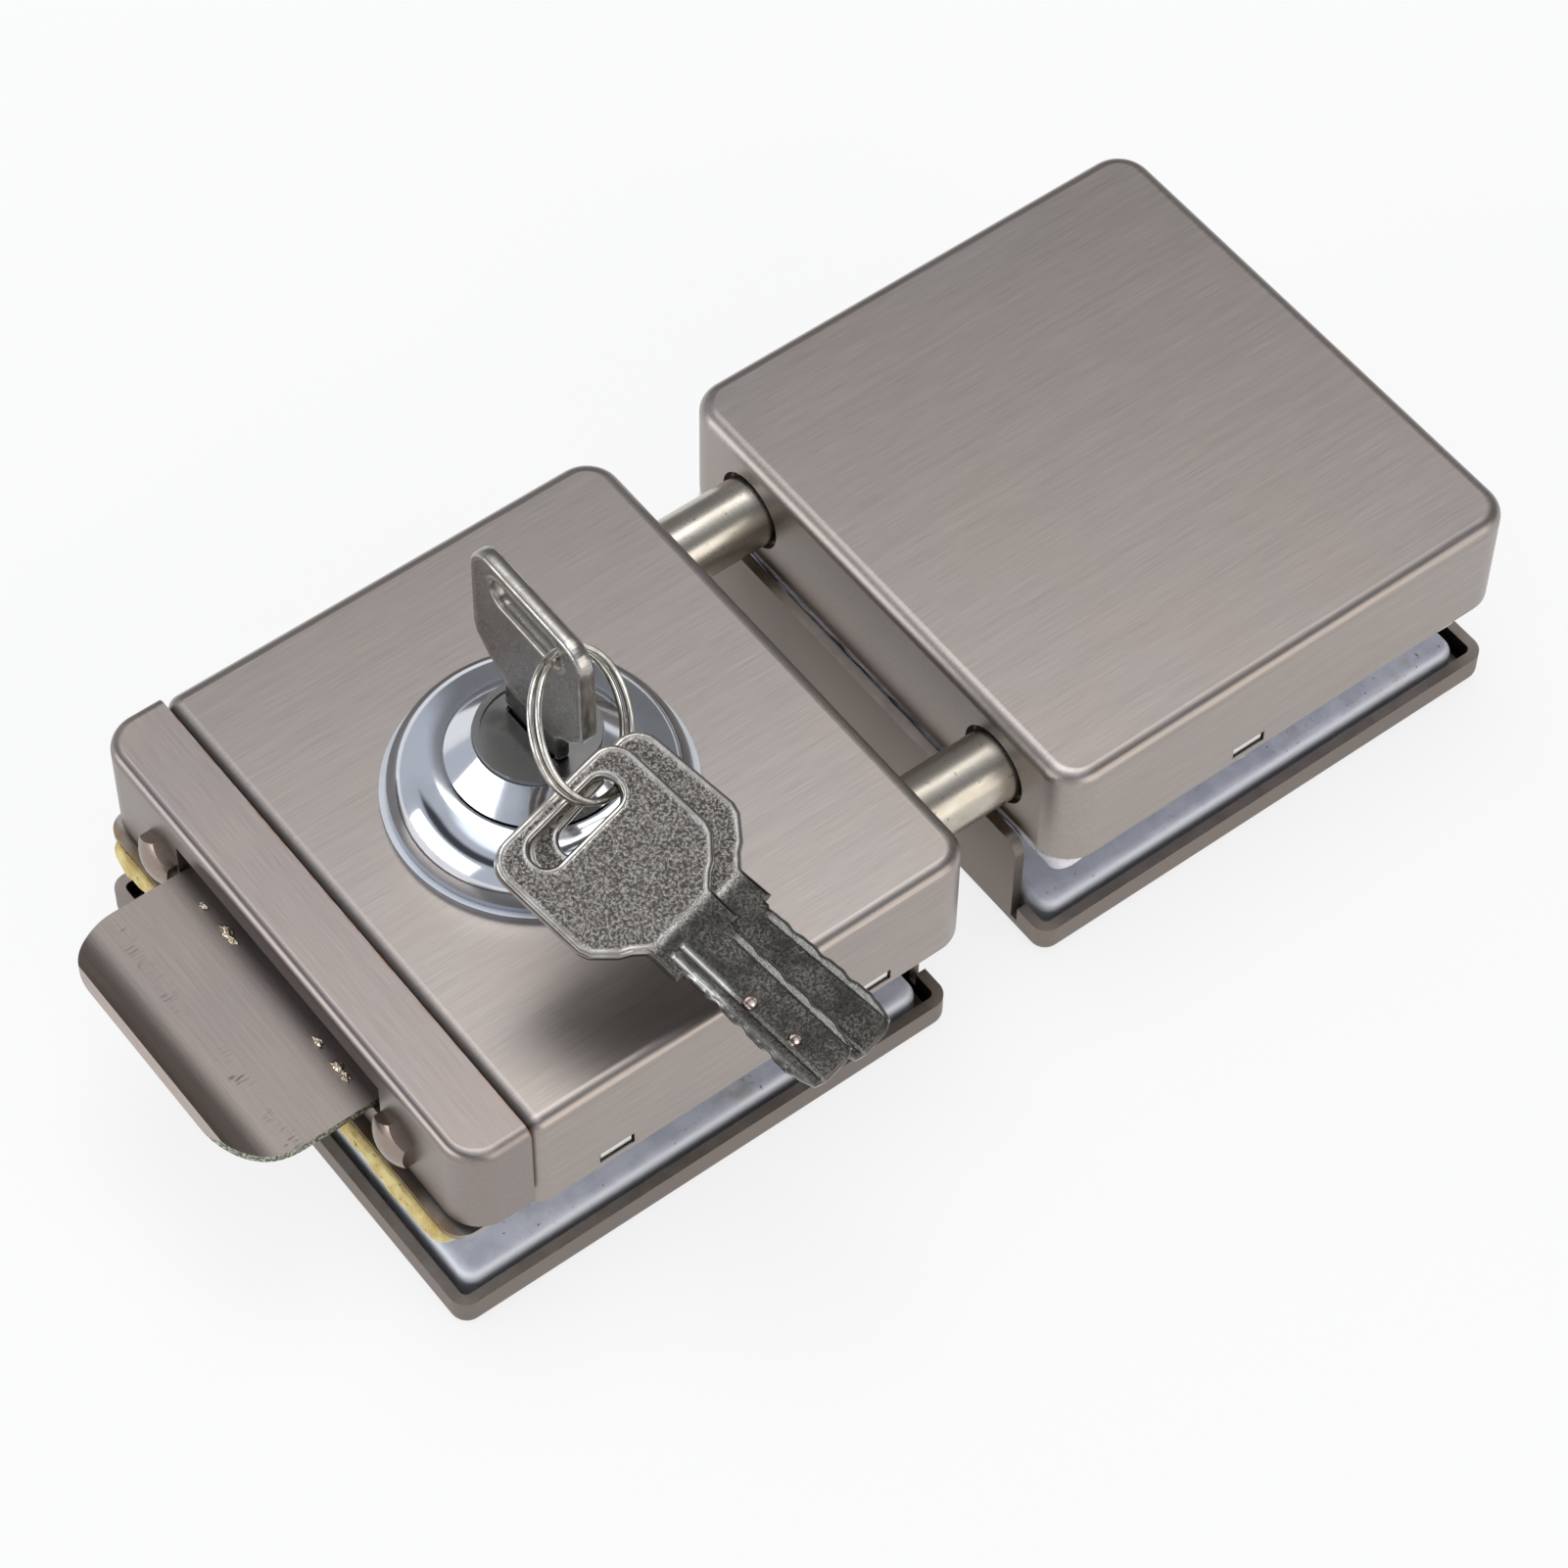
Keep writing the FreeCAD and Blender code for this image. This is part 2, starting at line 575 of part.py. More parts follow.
def build_lock_cover():
    """The brushed cover of the lock: a shell, open below, with bolt holes and catch windows."""
    piece = Piece("lock_cover")
    piece.box("block", (minus("seam_left"), "lock_right"), (minus(HALF), HALF), (BASE_Z, TOP))
    piece.fillet("right_corners", "corner_round", upright(1))
    piece.fillet("left_corners", "seam_round", upright(-1))
    piece.fillet("edge", "top_round", top_edges)
    piece.hollow("shell", "cover_wall", face_towards(DOWN))
    piece.cylinder("barrel_hole", "Z", ("0", "0"), (f"{TOP} - cover_wall * 2", f"{TOP} + cover_wall"),
                   "barrel_radius + barrel_play", cut=True)
    rod_holes(piece, "bolt_hole", (minus("seam_left + cover_wall"), "lock_right + cover_wall"),
              "rod_radius + wall_play")
    catch_windows(piece, (minus("catch_far"), "catch_near"))
    inside = f"({HALF} - cover_wall)"
    piece.box("plate_way", (minus("seam_left + cover_wall"), "-seam_left + seam_round + sheet_play"),
              (minus(inside), inside), (f"{BASE_Z} - base_thick", DECK), cut=True)


def build_strike_cover():
    """The brushed cover of the strike, with the bolt holes in its left wall."""
    piece = Piece("strike_cover")
    piece.box("block", (STRIKE_LEFT, STRIKE_RIGHT), (minus(HALF), HALF), (BASE_Z, TOP))
    piece.fillet("corners", "corner_round", upright())
    piece.fillet("edge", "top_round", top_edges)
    piece.hollow("shell", "cover_wall", face_towards(DOWN))
    rod_holes(piece, "bolt_hole", (f"{STRIKE_LEFT} - cover_wall", f"{STRIKE_LEFT} + cover_wall * 2"),
              "rod_radius + wall_play")
    catch_windows(piece, (f"({STRIKE_LEFT} + strike_catch)",))


def base_plate(label, left, right, left_round, flange, catches, screw_x):
    """A base plate with upturned front and back flanges, whose snap tabs sit in the catch windows."""
    edge = f"({HALF} - cover_wall - sheet_play)"
    piece = Piece(label)
    piece.box("plate", (left, right), (minus(edge), edge), (BASE_Z, DECK))
    piece.fillet("right_corners", "corner_round - cover_wall - sheet_play", upright(1))
    piece.fillet("left_corners", left_round, upright(-1))
    for side in (-1, 1):
        end = name_end(side)
        piece.box(f"flange_{end}", flange, side_span(side, f"{edge} - base_thick", edge),
                  (BASE_Z, f"{DECK} + flange_height"))
        for i, place in enumerate(catches):
            half = "(catch_length / 2 - catch_play)"
            rise = f"({DECK} + catch_rise)"
            reach = "(catch_height / 2 - catch_play)"
            piece.box(f"tab_{i}_{end}", (f"{place} - {half}", f"{place} + {half}"),
                      side_span(side, f"{edge} - base_thick", f"{HALF} - catch_play"),
                      (f"{rise} - {reach}", f"{rise} + {reach}"))
        piece.cylinder(f"screw_{end}", "Z", (screw_x, f"{side} * screw_half"),
                       (f"{BASE_Z} - base_thick", f"{DECK} + base_thick"),
                       "screw_radius + screw_play", cut=True)


def glass_pad(label, left, right, inset, screw_x):
    """The soft pad under a base plate, which bears on the glass."""
    piece = Piece(label)
    edge = f"({HALF} - {inset})"
    piece.box("block", (left, right), (minus(edge), edge), (PAD_Z, BASE_Z))
    piece.fillet("corners", "pad_round", upright())
    for side in (-1, 1):
        piece.cylinder(f"sleeve_{name_end(side)}", "Z", (screw_x, f"{side} * screw_half"),
                       (f"{PAD_Z} - base_thick", f"{BASE_Z} + base_thick"),
                       "sleeve_radius + screw_play", cut=True)


def closing_corners(shape):
    """The two top corners of the closing wall, which run along X."""
    highest = max(v.Z for v in shape.Vertexes)
    return [e for e in shape.Edges if straight(e, "x") and abs(e.CenterOfMass.z - highest) < CLOSE]


def rear_cover(label, left, right, wall, past):
    """A rear cover: a shallow tray whose wall beside the door gap rises to close the glass slot."""
    piece = Piece(label)
    piece.box("block", (left, right), (minus(REAR_HALF), REAR_HALF), ("0", "rim_height"))
    piece.fillet("corners", "rear_round", upright())
    piece.fillet("bend", "rear_bend", bottom_edges)
    piece.hollow("tray", "rear_thick", face_towards(UP))
    wall_end = f"({REAR_HALF} - closing_inset)"
    piece.box("closing_wall", wall, (minus(wall_end), wall_end), ("rim_height - rear_thick", "closing_top"))
    piece.fillet("closing_corners", "closing_round", closing_corners)
    for side in (-1, 1):
        piece.box(f"notch_{name_end(side)}", past, side_span(side, wall_end, f"{wall_end} + notch_width"),
                  ("notch_floor", "rim_height + rear_thick"), cut=True)


def clamp_plate(label, left, right, screw_x):
    """The zinc-plated clamp plate, an upturned pan that stands in the rear cover."""
    piece = Piece(label)
    edge = f"({REAR_HALF} - rear_thick - clamp_play)"
    piece.box("block", (f"{left} + rear_thick + clamp_play", f"{right} - rear_thick - clamp_play"),
              (minus(edge), edge), ("rear_thick", "clamp_top"))
    piece.fillet("corners", "clamp_round", upright())
    piece.fillet("edge", "clamp_bend", top_edges)
    piece.hollow("pan", "clamp_sheet", face_towards(DOWN))
    for side in (-1, 1):
        piece.cylinder(f"screw_{name_end(side)}", "Z", (screw_x, f"{side} * screw_half"),
                       ("clamp_top - clamp_sheet - clamp_play", "clamp_top + clamp_play"),
                       "screw_radius + screw_play", cut=True)


def clamp_hardware(prefix, screw_x):
    """The screws that draw the two halves together, with their spacer sleeves and nuts."""
    for side in (-1, 1):
        end = name_end(side)
        centre = (screw_x, f"{side} * screw_half")
        head_z = "(clamp_top - clamp_sheet - screw_head_height)"
        shank_z = f"({DECK} + nut_height + base_thick)"
        head = loose_cylinder(f"{prefix}_head_{end}", "Z", centre,
                              (head_z, "clamp_top - clamp_sheet"), "screw_head")
        shank = loose_cylinder(f"{prefix}_shank_{end}", "Z", centre, (head_z, shank_z), "screw_radius")
        register(f"{prefix}_clamp_screw_{end}", fuse(f"{prefix}_screw_{end}", [head, shank]))
        register(f"{prefix}_screw_sleeve_{end}",
                 tube(f"{prefix}_sleeve_{end}", "Z", centre, ("clamp_top", BASE_Z),
                      "sleeve_radius", "screw_radius + screw_play"))
        block = hex_prism(f"{prefix}_nut_block_{end}", "Z", centre, (DECK, f"{DECK} + nut_height"),
                          "nut_flat")
        thread = loose_cylinder(f"{prefix}_nut_thread_{end}", "Z", centre, (BASE_Z, TOP),
                                "screw_radius + thread_play")
        register(f"{prefix}_clamp_nut_{end}", combine("Cut", f"{prefix}_nut_{end}", block, thread))


def bolt_bracket(label, left, foot):
    """An upright bracket with a foot, bored for the bushes of the two round bolts."""
    right = f"({left} + guide_thick)"
    piece = Piece(label)
    piece.box("upright", (left, right), (minus(GUIDE_HALF), GUIDE_HALF), (DECK, f"{DECK} + guide_height"))
    piece.box("foot", foot, (minus("foot_half"), "foot_half"), (DECK, f"{DECK} + guide_thick / 2"))
    rod_holes(piece, "seat", (f"{left} - guide_thick", f"{right} + guide_thick"), "bush_radius")


def bush_pair(prefix, left, play):
    """The two bushes of one bracket, centred on its upright."""
    middle = f"({left} + guide_thick / 2)"
    for side in (-1, 1):
        end = name_end(side)
        register(f"{prefix}_bush_{end}",
                 tube(f"{prefix}_bush_tube_{end}", "X", (f"{side} * {ROD_Y}", ROD_Z),
                      (f"{middle} - bush_length / 2", f"{middle} + bush_length / 2"),
                      "bush_radius", f"rod_radius + {play}"))


def build_bolt_guides():
    """Brackets and bushes that carry the bolts in the lock and catch them in the strike."""
    left = "(-guide_left - guide_thick)"
    strike_left = f"({STRIKE_LEFT} + keeper_back)"
    bolt_bracket("lock_guide_left", left, (left, "-guide_left + foot_length"))
    bolt_bracket("lock_guide_right", "guide_right",
                 ("guide_right - foot_length", "guide_right + guide_thick"))
    bolt_bracket("strike_keeper", strike_left, (strike_left, f"{strike_left} + guide_thick + foot_length"))
    bush_pair("lock_left", left, "bush_play")
    bush_pair("lock_right", "guide_right", "bush_play")
    bush_pair("strike", strike_left, "keeper_play")


def build_rosette():
    """The chrome rosette round the cylinder, hollow below and stepped for the cylinder's head."""
    piece = Piece("rosette")
    piece.cylinder("block", "Z", CENTRE, (TOP, ROSETTE_TOP), "rosette_radius - rosette_rim")
    piece.fillet("dome", "rosette_dome", top_edges)
    piece.cylinder("rim", "Z", CENTRE, (TOP, f"{TOP} + rosette_rim_height"), "rosette_radius")
    piece.cylinder("hollow", "Z", CENTRE, (f"{TOP} - cover_wall", f"{TOP} + hollow_height"),
                   "hollow_radius", cut=True)
    piece.cylinder("bore", "Z", CENTRE, (TOP, f"{ROSETTE_TOP} + cover_wall"),
                   "barrel_radius + barrel_play", cut=True)
    piece.cylinder("seat", "Z", CENTRE, (FLANGE_Z, f"{ROSETTE_TOP} + cover_wall"),
                   "barrel_flange + barrel_play", cut=True)


def build_cylinder_body():
    """The fixed body of the key cylinder, bored for the plug and for its driver pins."""
    piece = Piece("cylinder_body")
    piece.cylinder("shank", "Z", CENTRE, (BARREL_Z, BARREL_TOP), "barrel_radius")
    piece.cylinder("flange", "Z", CENTRE, (FLANGE_Z, BARREL_TOP), "barrel_flange")
    piece.chamfer("bevel", "barrel_slope", top_edges)
    piece.cylinder("bore", "Z", CENTRE, (f"{BARREL_Z} - cover_wall", f"{BARREL_TOP} + cover_wall"),
                   "plug_radius + plug_play", cut=True)
    piece.cylinder("seat", "Z", CENTRE, (f"{PLUG_HEAD_Z} - plug_play", f"{BARREL_TOP} + cover_wall"),
                   "plug_head + plug_play", cut=True)
    for i in range(PIN_COUNT):
        piece.cylinder(f"pin_hole_{i}", "X", ("0", pin_level(i)), ("0", SPRING_END),
                       "pin_radius + pin_play", cut=True)


def build_cylinder_nut():
    """The hexagon nut that holds the cylinder against the cover from inside."""
    block = hex_prism("cylinder_nut_block", "Z", CENTRE,
                      (f"{TOP} - cover_wall - nut_deep", f"{TOP} - cover_wall"), "nut_wide")
    thread = loose_cylinder("cylinder_nut_thread", "Z", CENTRE, (DECK, TOP), "barrel_radius + thread_play")
    register("cylinder_nut", combine("Cut", "cylinder_nut_ring", block, thread))


def build_plug():
    """The plug that the key turns, with its keyway, its pin holes and its cam screw holes."""
    piece = Piece("plug")
    piece.cylinder("shank", "Z", CENTRE, (PLUG_Z, PLUG_HEAD_Z), "plug_radius")
    piece.cylinder("head", "Z", CENTRE, (PLUG_HEAD_Z, PLUG_TOP), "plug_head")
    piece.cylinder("face", "Z", CENTRE, (f"{PLUG_TOP} - plug_recess", f"{PLUG_TOP} + cover_wall"),
                   "plug_head - plug_rim", cut=True)
    piece.box("keyway", ("-key_thick / 2 - key_play", "key_thick / 2 + key_play"),
              ("-blade_width / 2 - key_play", "blade_width / 2 + key_play"),
              (f"{KEY_TIP} - key_play", f"{PLUG_TOP} + cover_wall"), cut=True)
    for i in range(PIN_COUNT):
        piece.cylinder(f"pin_hole_{i}", "X", ("0", pin_level(i)), ("0", "plug_radius + cover_wall"),
                       "pin_radius + pin_play", cut=True)
    for side in (-1, 1):
        piece.cylinder(f"screw_{name_side(side)}", "Z", (f"{side} * cam_screw_reach", "0"),
                       (CAM_Z, f"{CAM_Z} + cam_screw_length"), "cam_screw_radius + pin_play", cut=True)


def build_tumblers():
    """Key pins in the plug, and driver pins with their springs in the cylinder body."""
    key_pins = []
    driver_pins = []
    springs = []
    for i in range(PIN_COUNT):
        place = ("0", pin_level(i))
        key_pins.append(loose_cylinder(
            f"key_pin_{i}", "X", place, ("key_thick / 2 + pin_play", "plug_radius - pin_shear"),
            "pin_radius"))
        driver_pins.append(loose_cylinder(
            f"driver_pin_{i}", "X", place, (DRIVER_START, DRIVER_END), "pin_radius"))
        springs.append(tube(f"pin_spring_{i}", "X", place, (DRIVER_END, SPRING_END),
                            "pin_radius", "pin_radius / 2"))
    group("key_pins", key_pins)
    group("driver_pins", driver_pins)
    group("pin_springs", springs)


def build_cam():
    """The cam under the plug, whose two pins drive the locking bars, and its two screws."""
    piece = Piece("cam")
    piece.cylinder("disc", "Z", CENTRE, (CAM_Z, PLUG_Z), "cam_radius")
    for side in (-1, 1):
        piece.cylinder(f"pin_{name_end(side)}", "Z", (f"{side} * {CRANK_X}", f"{-side} * {CRANK_Y}"),
                       (f"{BAR_Z} + bar_lift / 2", PLUG_Z), "crank_pin")
    for side in (-1, 1):
        place = (f"{side} * cam_screw_reach", "0")
        piece.cylinder(f"screw_{name_side(side)}", "Z", place,
                       (f"{CAM_Z} - cam_thick", f"{PLUG_Z} + cam_thick"),
                       "cam_screw_radius + pin_play", cut=True)
        register(f"cam_screw_{name_side(side)}",
                 loose_cylinder(f"cam_screw_shank_{name_side(side)}", "Z", place,
                                (CAM_Z, f"{CAM_Z} + cam_screw_length - pin_play"), "cam_screw_radius"))


def build_locking_bar(label, side):
    """A locking bar: a flat bar with an open slot for a cam pin and a lug that enters a bolt."""
    piece = Piece(label)
    piece.box("bar", side_span(side, "bar_inner", "bar_outer"), side_span(side, "-bar_tail", BAR_TIP),
              (BAR_Z, BAR_TOP))
    piece.box("slot", side_span(side, "0", f"crank_radius + {SLOT_HALF}"),
              side_span(side, f"-({CRANK_Y} + {SLOT_HALF})", f"-({CRANK_Y} - {SLOT_HALF})"),
              (f"{BAR_Z} - bar_lift", f"{BAR_TOP} + bar_lift"), cut=True)
    piece.box("lug", side_span(side, f"{LUG_X} - lug_width / 2", f"{LUG_X} + lug_width / 2"),
              side_span(side, f"{BAR_TIP} - lug_thick", BAR_TIP), (BAR_Z, LUG_TOP))


def build_bar_straps():
    """The two straps that hold the locking bars down on the base plate."""
    leg_inner = "(bar_outer + strap_play)"
    leg_outer = f"({leg_inner} + strap_thick)"
    roof_z = f"({BAR_TOP} + strap_play)"
    for side in (-1, 1):
        end = name_end(side)
        y = side_span(side, "strap_inner", "strap_inner + strap_length")
        pieces = [loose_box(f"strap_roof_{end}", (minus(leg_outer), leg_outer), y,
                            (roof_z, f"{roof_z} + strap_thick"))]
        for leg in (-1, 1):
            pieces.append(loose_box(f"strap_leg_{end}_{name_side(leg)}",
                                    side_span(leg, leg_inner, leg_outer), y,
                                    (DECK, f"{roof_z} + strap_thick")))
        register(f"bar_strap_{end}", fuse(f"strap_{end}", pieces))


def build_end_cap():
    """The end cap that slides with the bolts: a brushed shell, open below and towards the cover."""
    edge = f"({HALF} + cap_proud)"
    through = (minus("cap_left + cover_wall"), minus(YOKE_RIGHT))
    piece = Piece("end_cap")
    seam = "(-seam_left - seam_gap)"
    high = (f"{DECK} + cap_lift", f"{TOP} + cap_rise")
    piece.box("block", (minus("cap_left"), f"{seam} + cap_round * 2"), (minus(edge), edge), high)
    piece.fillet("corners", "cap_round", upright())
    piece.fillet("edge", "cap_edge", top_edges)
    piece.hollow("shell", "cover_wall", face_towards(DOWN))
    piece.box("open_side", (seam, f"{seam} + cap_round * 3"), (minus("box_depth"), "box_depth"),
              (DECK, f"{TOP} + cap_rise * 2"), cut=True)
    piece.box("window", through, (f"{TAB_FRONT} - window_front", f"{TAB_REAR} + tab_play"),
              (f"{TAB_Z} - tab_play", f"{TAB_Z} + window_height"), cut=True)
    for side in (-1, 1):
        piece.cylinder(f"screw_{name_end(side)}", "X", (f"{side} * {ROD_Y}", ROD_Z), through,
                       "stud_radius + stud_play", cut=True)


def build_pull_tab():
    """The pull tab: a flat sheet with a curled outer edge and rounded outer corners."""
    left = "(-cap_left - tab_reach)"
    centre = (CURL_X, f"{TAB_Z} + tab_curl")
    flat = loose_box("tab_flat", (CURL_X, minus(CAP_INNER)), (TAB_FRONT, TAB_REAR),
                     (TAB_Z, f"{TAB_Z} + tab_thick"))
    curl = loose_cylinder("tab_curl_sector", "Y", centre, (TAB_FRONT, TAB_REAR), "tab_curl")
    curl.Placement.Rotation = turn_to("Y") * FreeCAD.Rotation(UP, DEG_QUARTER)
    curl.setExpression("Angle", bind("tab_curl_angle"))
    inside = loose_cylinder("tab_curl_inside", "Y", centre,
                            (f"{TAB_FRONT} - tab_thick", f"{TAB_REAR} + tab_thick"), "tab_curl - tab_thick")
    sheet_form = fuse("tab_sheet", [flat, combine("Cut", "tab_curl_ring", curl, inside)])
    high = (f"{TAB_Z} - tab_thick", f"{TAB_Z} + tab_curl")
    blank = [
        loose_box("tab_blank_long", (f"{left} + tab_round", minus(CAP_INNER)), (TAB_FRONT, TAB_REAR), high),
        loose_box("tab_blank_wide", (left, minus(CAP_INNER)),
                  (f"{TAB_FRONT} + tab_round", f"{TAB_REAR} - tab_round"), high),
    ]
    for end, place in (("front", f"{TAB_FRONT} + tab_round"), ("rear", f"{TAB_REAR} - tab_round")):
        blank.append(loose_cylinder(f"tab_corner_{end}", "Z", (f"{left} + tab_round", place),
                                    high, "tab_round"))
    register("pull_tab", combine("Common", "tab_cut_out", sheet_form, fuse("tab_blank", blank)))


def build_rod_yoke():
    """The plate that joins the two bolts inside the end cap."""
    piece = Piece("rod_yoke")
    piece.box("plate", (minus(CAP_INNER), minus(YOKE_RIGHT)), (minus(YOKE_HALF), YOKE_HALF),
              (f"{ROD_Z} - yoke_below", f"{ROD_Z} + yoke_above"))
    rod_holes(piece, "screw", (minus(f"{CAP_INNER} + yoke_thick"), minus(f"{YOKE_RIGHT} - yoke_thick")),
              "stud_radius + stud_play")


def tip_edges(shape):
    """The edges at the right end of a bolt."""
    right = max(v.X for v in shape.Vertexes)
    return [e for e in shape.Edges if all(abs(v.X - right) < CLOSE for v in e.Vertexes)
            and abs(e.CenterOfMass.x - right) < CLOSE]


def build_rod(label, side):
    """A round bolt: tapped at its left end, with a notch for each place where it can be locked."""
    centre = (f"{side} * {ROD_Y}", ROD_Z)
    piece = Piece(label)
    piece.cylinder("bar", "X", centre, (minus(YOKE_RIGHT), ROD_TIP), "rod_radius")
    piece.chamfer("nose", "rod_nose", tip_edges)
    piece.cylinder("thread", "X", centre, (minus(CAP_INNER), f"-{YOKE_RIGHT} + stud_depth"),
                   "stud_radius + thread_play", cut=True)
    for name, shift in (("thrown", "0"), ("drawn", "throw")):
        middle = f"({side} * {LUG_X} + {shift})"
        piece.box(f"notch_{name}", (f"{middle} - lug_width / 2 - notch_play",
                                    f"{middle} + lug_width / 2 + notch_play"),
                  side_span(side, f"{ROD_Y} - rod_radius * 2", f"{ROD_Y} - rod_radius + notch_depth"),
                  (f"{ROD_Z} - rod_radius * 2", f"{LUG_TOP} + notch_play"), cut=True)


def build_cap_screws():
    """The domed hexagon screws that hold the end cap and the yoke to the bolts."""
    left = "(-cap_left - hex_height)"
    for side in (-1, 1):
        end = name_end(side)
        centre = (f"{side} * {ROD_Y}", ROD_Z)
        prism = hex_prism(f"cap_screw_hex_{end}", "X", centre, (left, minus("cap_left")), "hex_flat")
        dome = loose_sphere(f"cap_screw_dome_{end}", (f"{left} + hex_dome",) + centre, "hex_dome")
        head = combine("Common", f"cap_screw_head_{end}", prism, dome)
        shank_span = (minus("cap_left + hex_height / 2"), f"-{YOKE_RIGHT} + stud_depth - notch_play")
        shank = loose_cylinder(f"cap_screw_shank_{end}", "X", centre, shank_span, "stud_radius")
        register(f"cap_screw_{end}", fuse(f"cap_screw_whole_{end}", [head, shank]))


def head_corners(shape):
    """The two top corners of the head of a key."""
    highest = max(v.Z for v in shape.Vertexes)
    return [e for e in shape.Edges if straight(e, "x") and abs(e.CenterOfMass.z - highest) < CLOSE]


def build_key(label):
    """A key standing on its tip, with its origin where the head meets the blade."""
    half_outline = [
        ("blade_width / 2 - tip_chamfer", "-blade_length"),
        ("blade_width / 2", "-blade_length + tip_chamfer"),
        ("blade_width / 2", "-root_length"),
        ("root_width / 2", "-root_length"),
        ("root_width / 2", "0"),
        ("head_width / 2 - head_chamfer", "head_slope"),
        ("head_width / 2", "head_slope + head_chamfer"),
        ("head_width / 2", "head_height"),
    ]
    mirrored = [(minus(y), z) for y, z in reversed(half_outline)]
    piece = Piece(label)
    piece.pad("plate", piece.outline("outline", "YZ_Plane", half_outline + mirrored), "key_thick")
    piece.fillet("head_corners", "head_round", head_corners)
    slot_end = "(slot_length / 2 - slot_height / 2)"
    piece.box("slot", ("-key_thick", "key_thick"), (minus(slot_end), slot_end),
              (f"{SLOT_RISE} - slot_height / 2", f"{SLOT_RISE} + slot_height / 2"), cut=True)
    for side in (-1, 1):
        piece.cylinder(f"slot_{name_end(side)}", "X", (f"{side} * {slot_end}", SLOT_RISE),
                       ("-key_thick", "key_thick"), "slot_height / 2", cut=True)
        for face in (-1, 1):
            middle = f"{side} * groove_offset"
            piece.box(f"groove_{name_end(side)}_{name_side(face)}",
                      side_span(face, "key_thick / 2 - groove_depth", "key_thick"),
                      (f"{middle} - groove_width / 2", f"{middle} + groove_width / 2"),
                      ("-blade_length - tip_chamfer", "-root_length"), cut=True)
    return piece.body


def build_keys():
    """The key in the plug, and the two spare keys that hang on the split ring by their slots."""
    inserted = build_key("key_inserted")
    inserted.setExpression("Placement.Base.z", bind(KEY_ROOT))
    for number in (1, 2):
        name = f"spare_{number}"
        spare = build_key(f"spare_key_{number}")
        spare.Placement.Rotation = (FreeCAD.Rotation(UP, size(f"{name}_heading"))
                                    * FreeCAD.Rotation(BACK, size(f"{name}_lean") - DEG_QUARTER)
                                    * FreeCAD.Rotation(UP, size(f"{name}_roll")))
        to_head = (f"-cos({name}_lean) * cos({name}_heading)",
                   f"-cos({name}_lean) * sin({name}_heading)",
                   f"sin({name}_lean)")
        for letter, middle, share in zip("xyz", RING_CENTRE, to_head):
            spare.setExpression(f"Placement.Base.{letter}",
                                bind(f"{middle} + {name}_{letter} - {SLOT_RISE} * ({share})"))


def helix_point(turn):
    """A point on the middle line of the split ring and the way the wire runs there."""
    angle = 2 * math.pi * turn
    radius = size("ring_radius")
    pitch = size("ring_pitch")
    rise = pitch * (turn - RING_TURNS / 2)
    point = FreeCAD.Vector(radius * math.cos(angle), radius * math.sin(angle), rise)
    way = FreeCAD.Vector(-radius * math.sin(angle), radius * math.cos(angle), pitch / (2 * math.pi))
    return point, way.normalize()


def arc_from(start, way, end):
    """The arc from start to end that leaves start in a given direction."""
    chord = end - start
    bend = way.getAngle(chord)
    across = way - chord * (way.dot(chord) / chord.dot(chord))
    sagitta = chord.Length / 2 * math.tan(bend / 2)
    middle = (start + end) * 0.5 + across.normalize() * sagitta
    return Part.Arc(start, middle, end)


def biarc(start, start_way, end, end_way):
    """Two arcs that join two points and keep the given direction at both."""
    span = end - start
    ways = start_way + end_way
    spread = 2 * (1 - start_way.dot(end_way))
    along = span.dot(ways)
    reach = (math.sqrt(along * along + spread * span.dot(span)) - along) / spread
    joint = (start + start_way * reach + end - end_way * reach) * 0.5
    first = arc_from(start, start_way, joint)
    last = arc_from(end, end_way * -1, joint)
    return [first.toShape(), last.toShape()]


def least_self_gap(points, wire_diameter, near):
    """The smallest gap between stretches of the wire that are more than near points apart."""
    least = math.inf
    for i, point in enumerate(points):
        for other in points[i + near:]:
            least = min(least, point.distanceToPoint(other))
    return least - wire_diameter


def build_split_ring():
    """The split ring: two turns of one round wire, a pipe along arcs that follow a helix."""
    quarters = 4 * RING_TURNS
    stations = [helix_point(i / 4) for i in range(quarters + 1)]
    edges = []
    for (start, start_way), (end, end_way) in zip(stations, stations[1:]):
        edges += biarc(start, start_way, end, end_way)
    path = Part.Wire(Part.__sortEdges__(edges))
    first, way = stations[0]
    section = Part.Wire([Part.Circle(first, way, size("ring_wire")).toShape()])
    ring = doc.addObject("Part::Feature", "ring_tube")
    ring.Shape = path.makePipeShell([section], True, False)
    heading = FreeCAD.Rotation(UP, size("ring_heading"))
    tilt = FreeCAD.Rotation(BACK, size("ring_tilt"))
    start = FreeCAD.Rotation(UP, size("ring_start"))
    ring.Placement = FreeCAD.Placement(FreeCAD.Vector(), heading * tilt * start)
    for letter, middle in zip("xyz", RING_CENTRE):
        ring.setExpression(f"Placement.Base.{letter}", bind(middle))
    register("split_ring", ring)
    samples = 60
    points = [helix_point(i / samples)[0] for i in range(samples * RING_TURNS + 1)]
    gap = least_self_gap(points, size("ring_wire") * 2, samples // 2)
    print(f"split ring: least gap to itself {gap:.3f} mm")


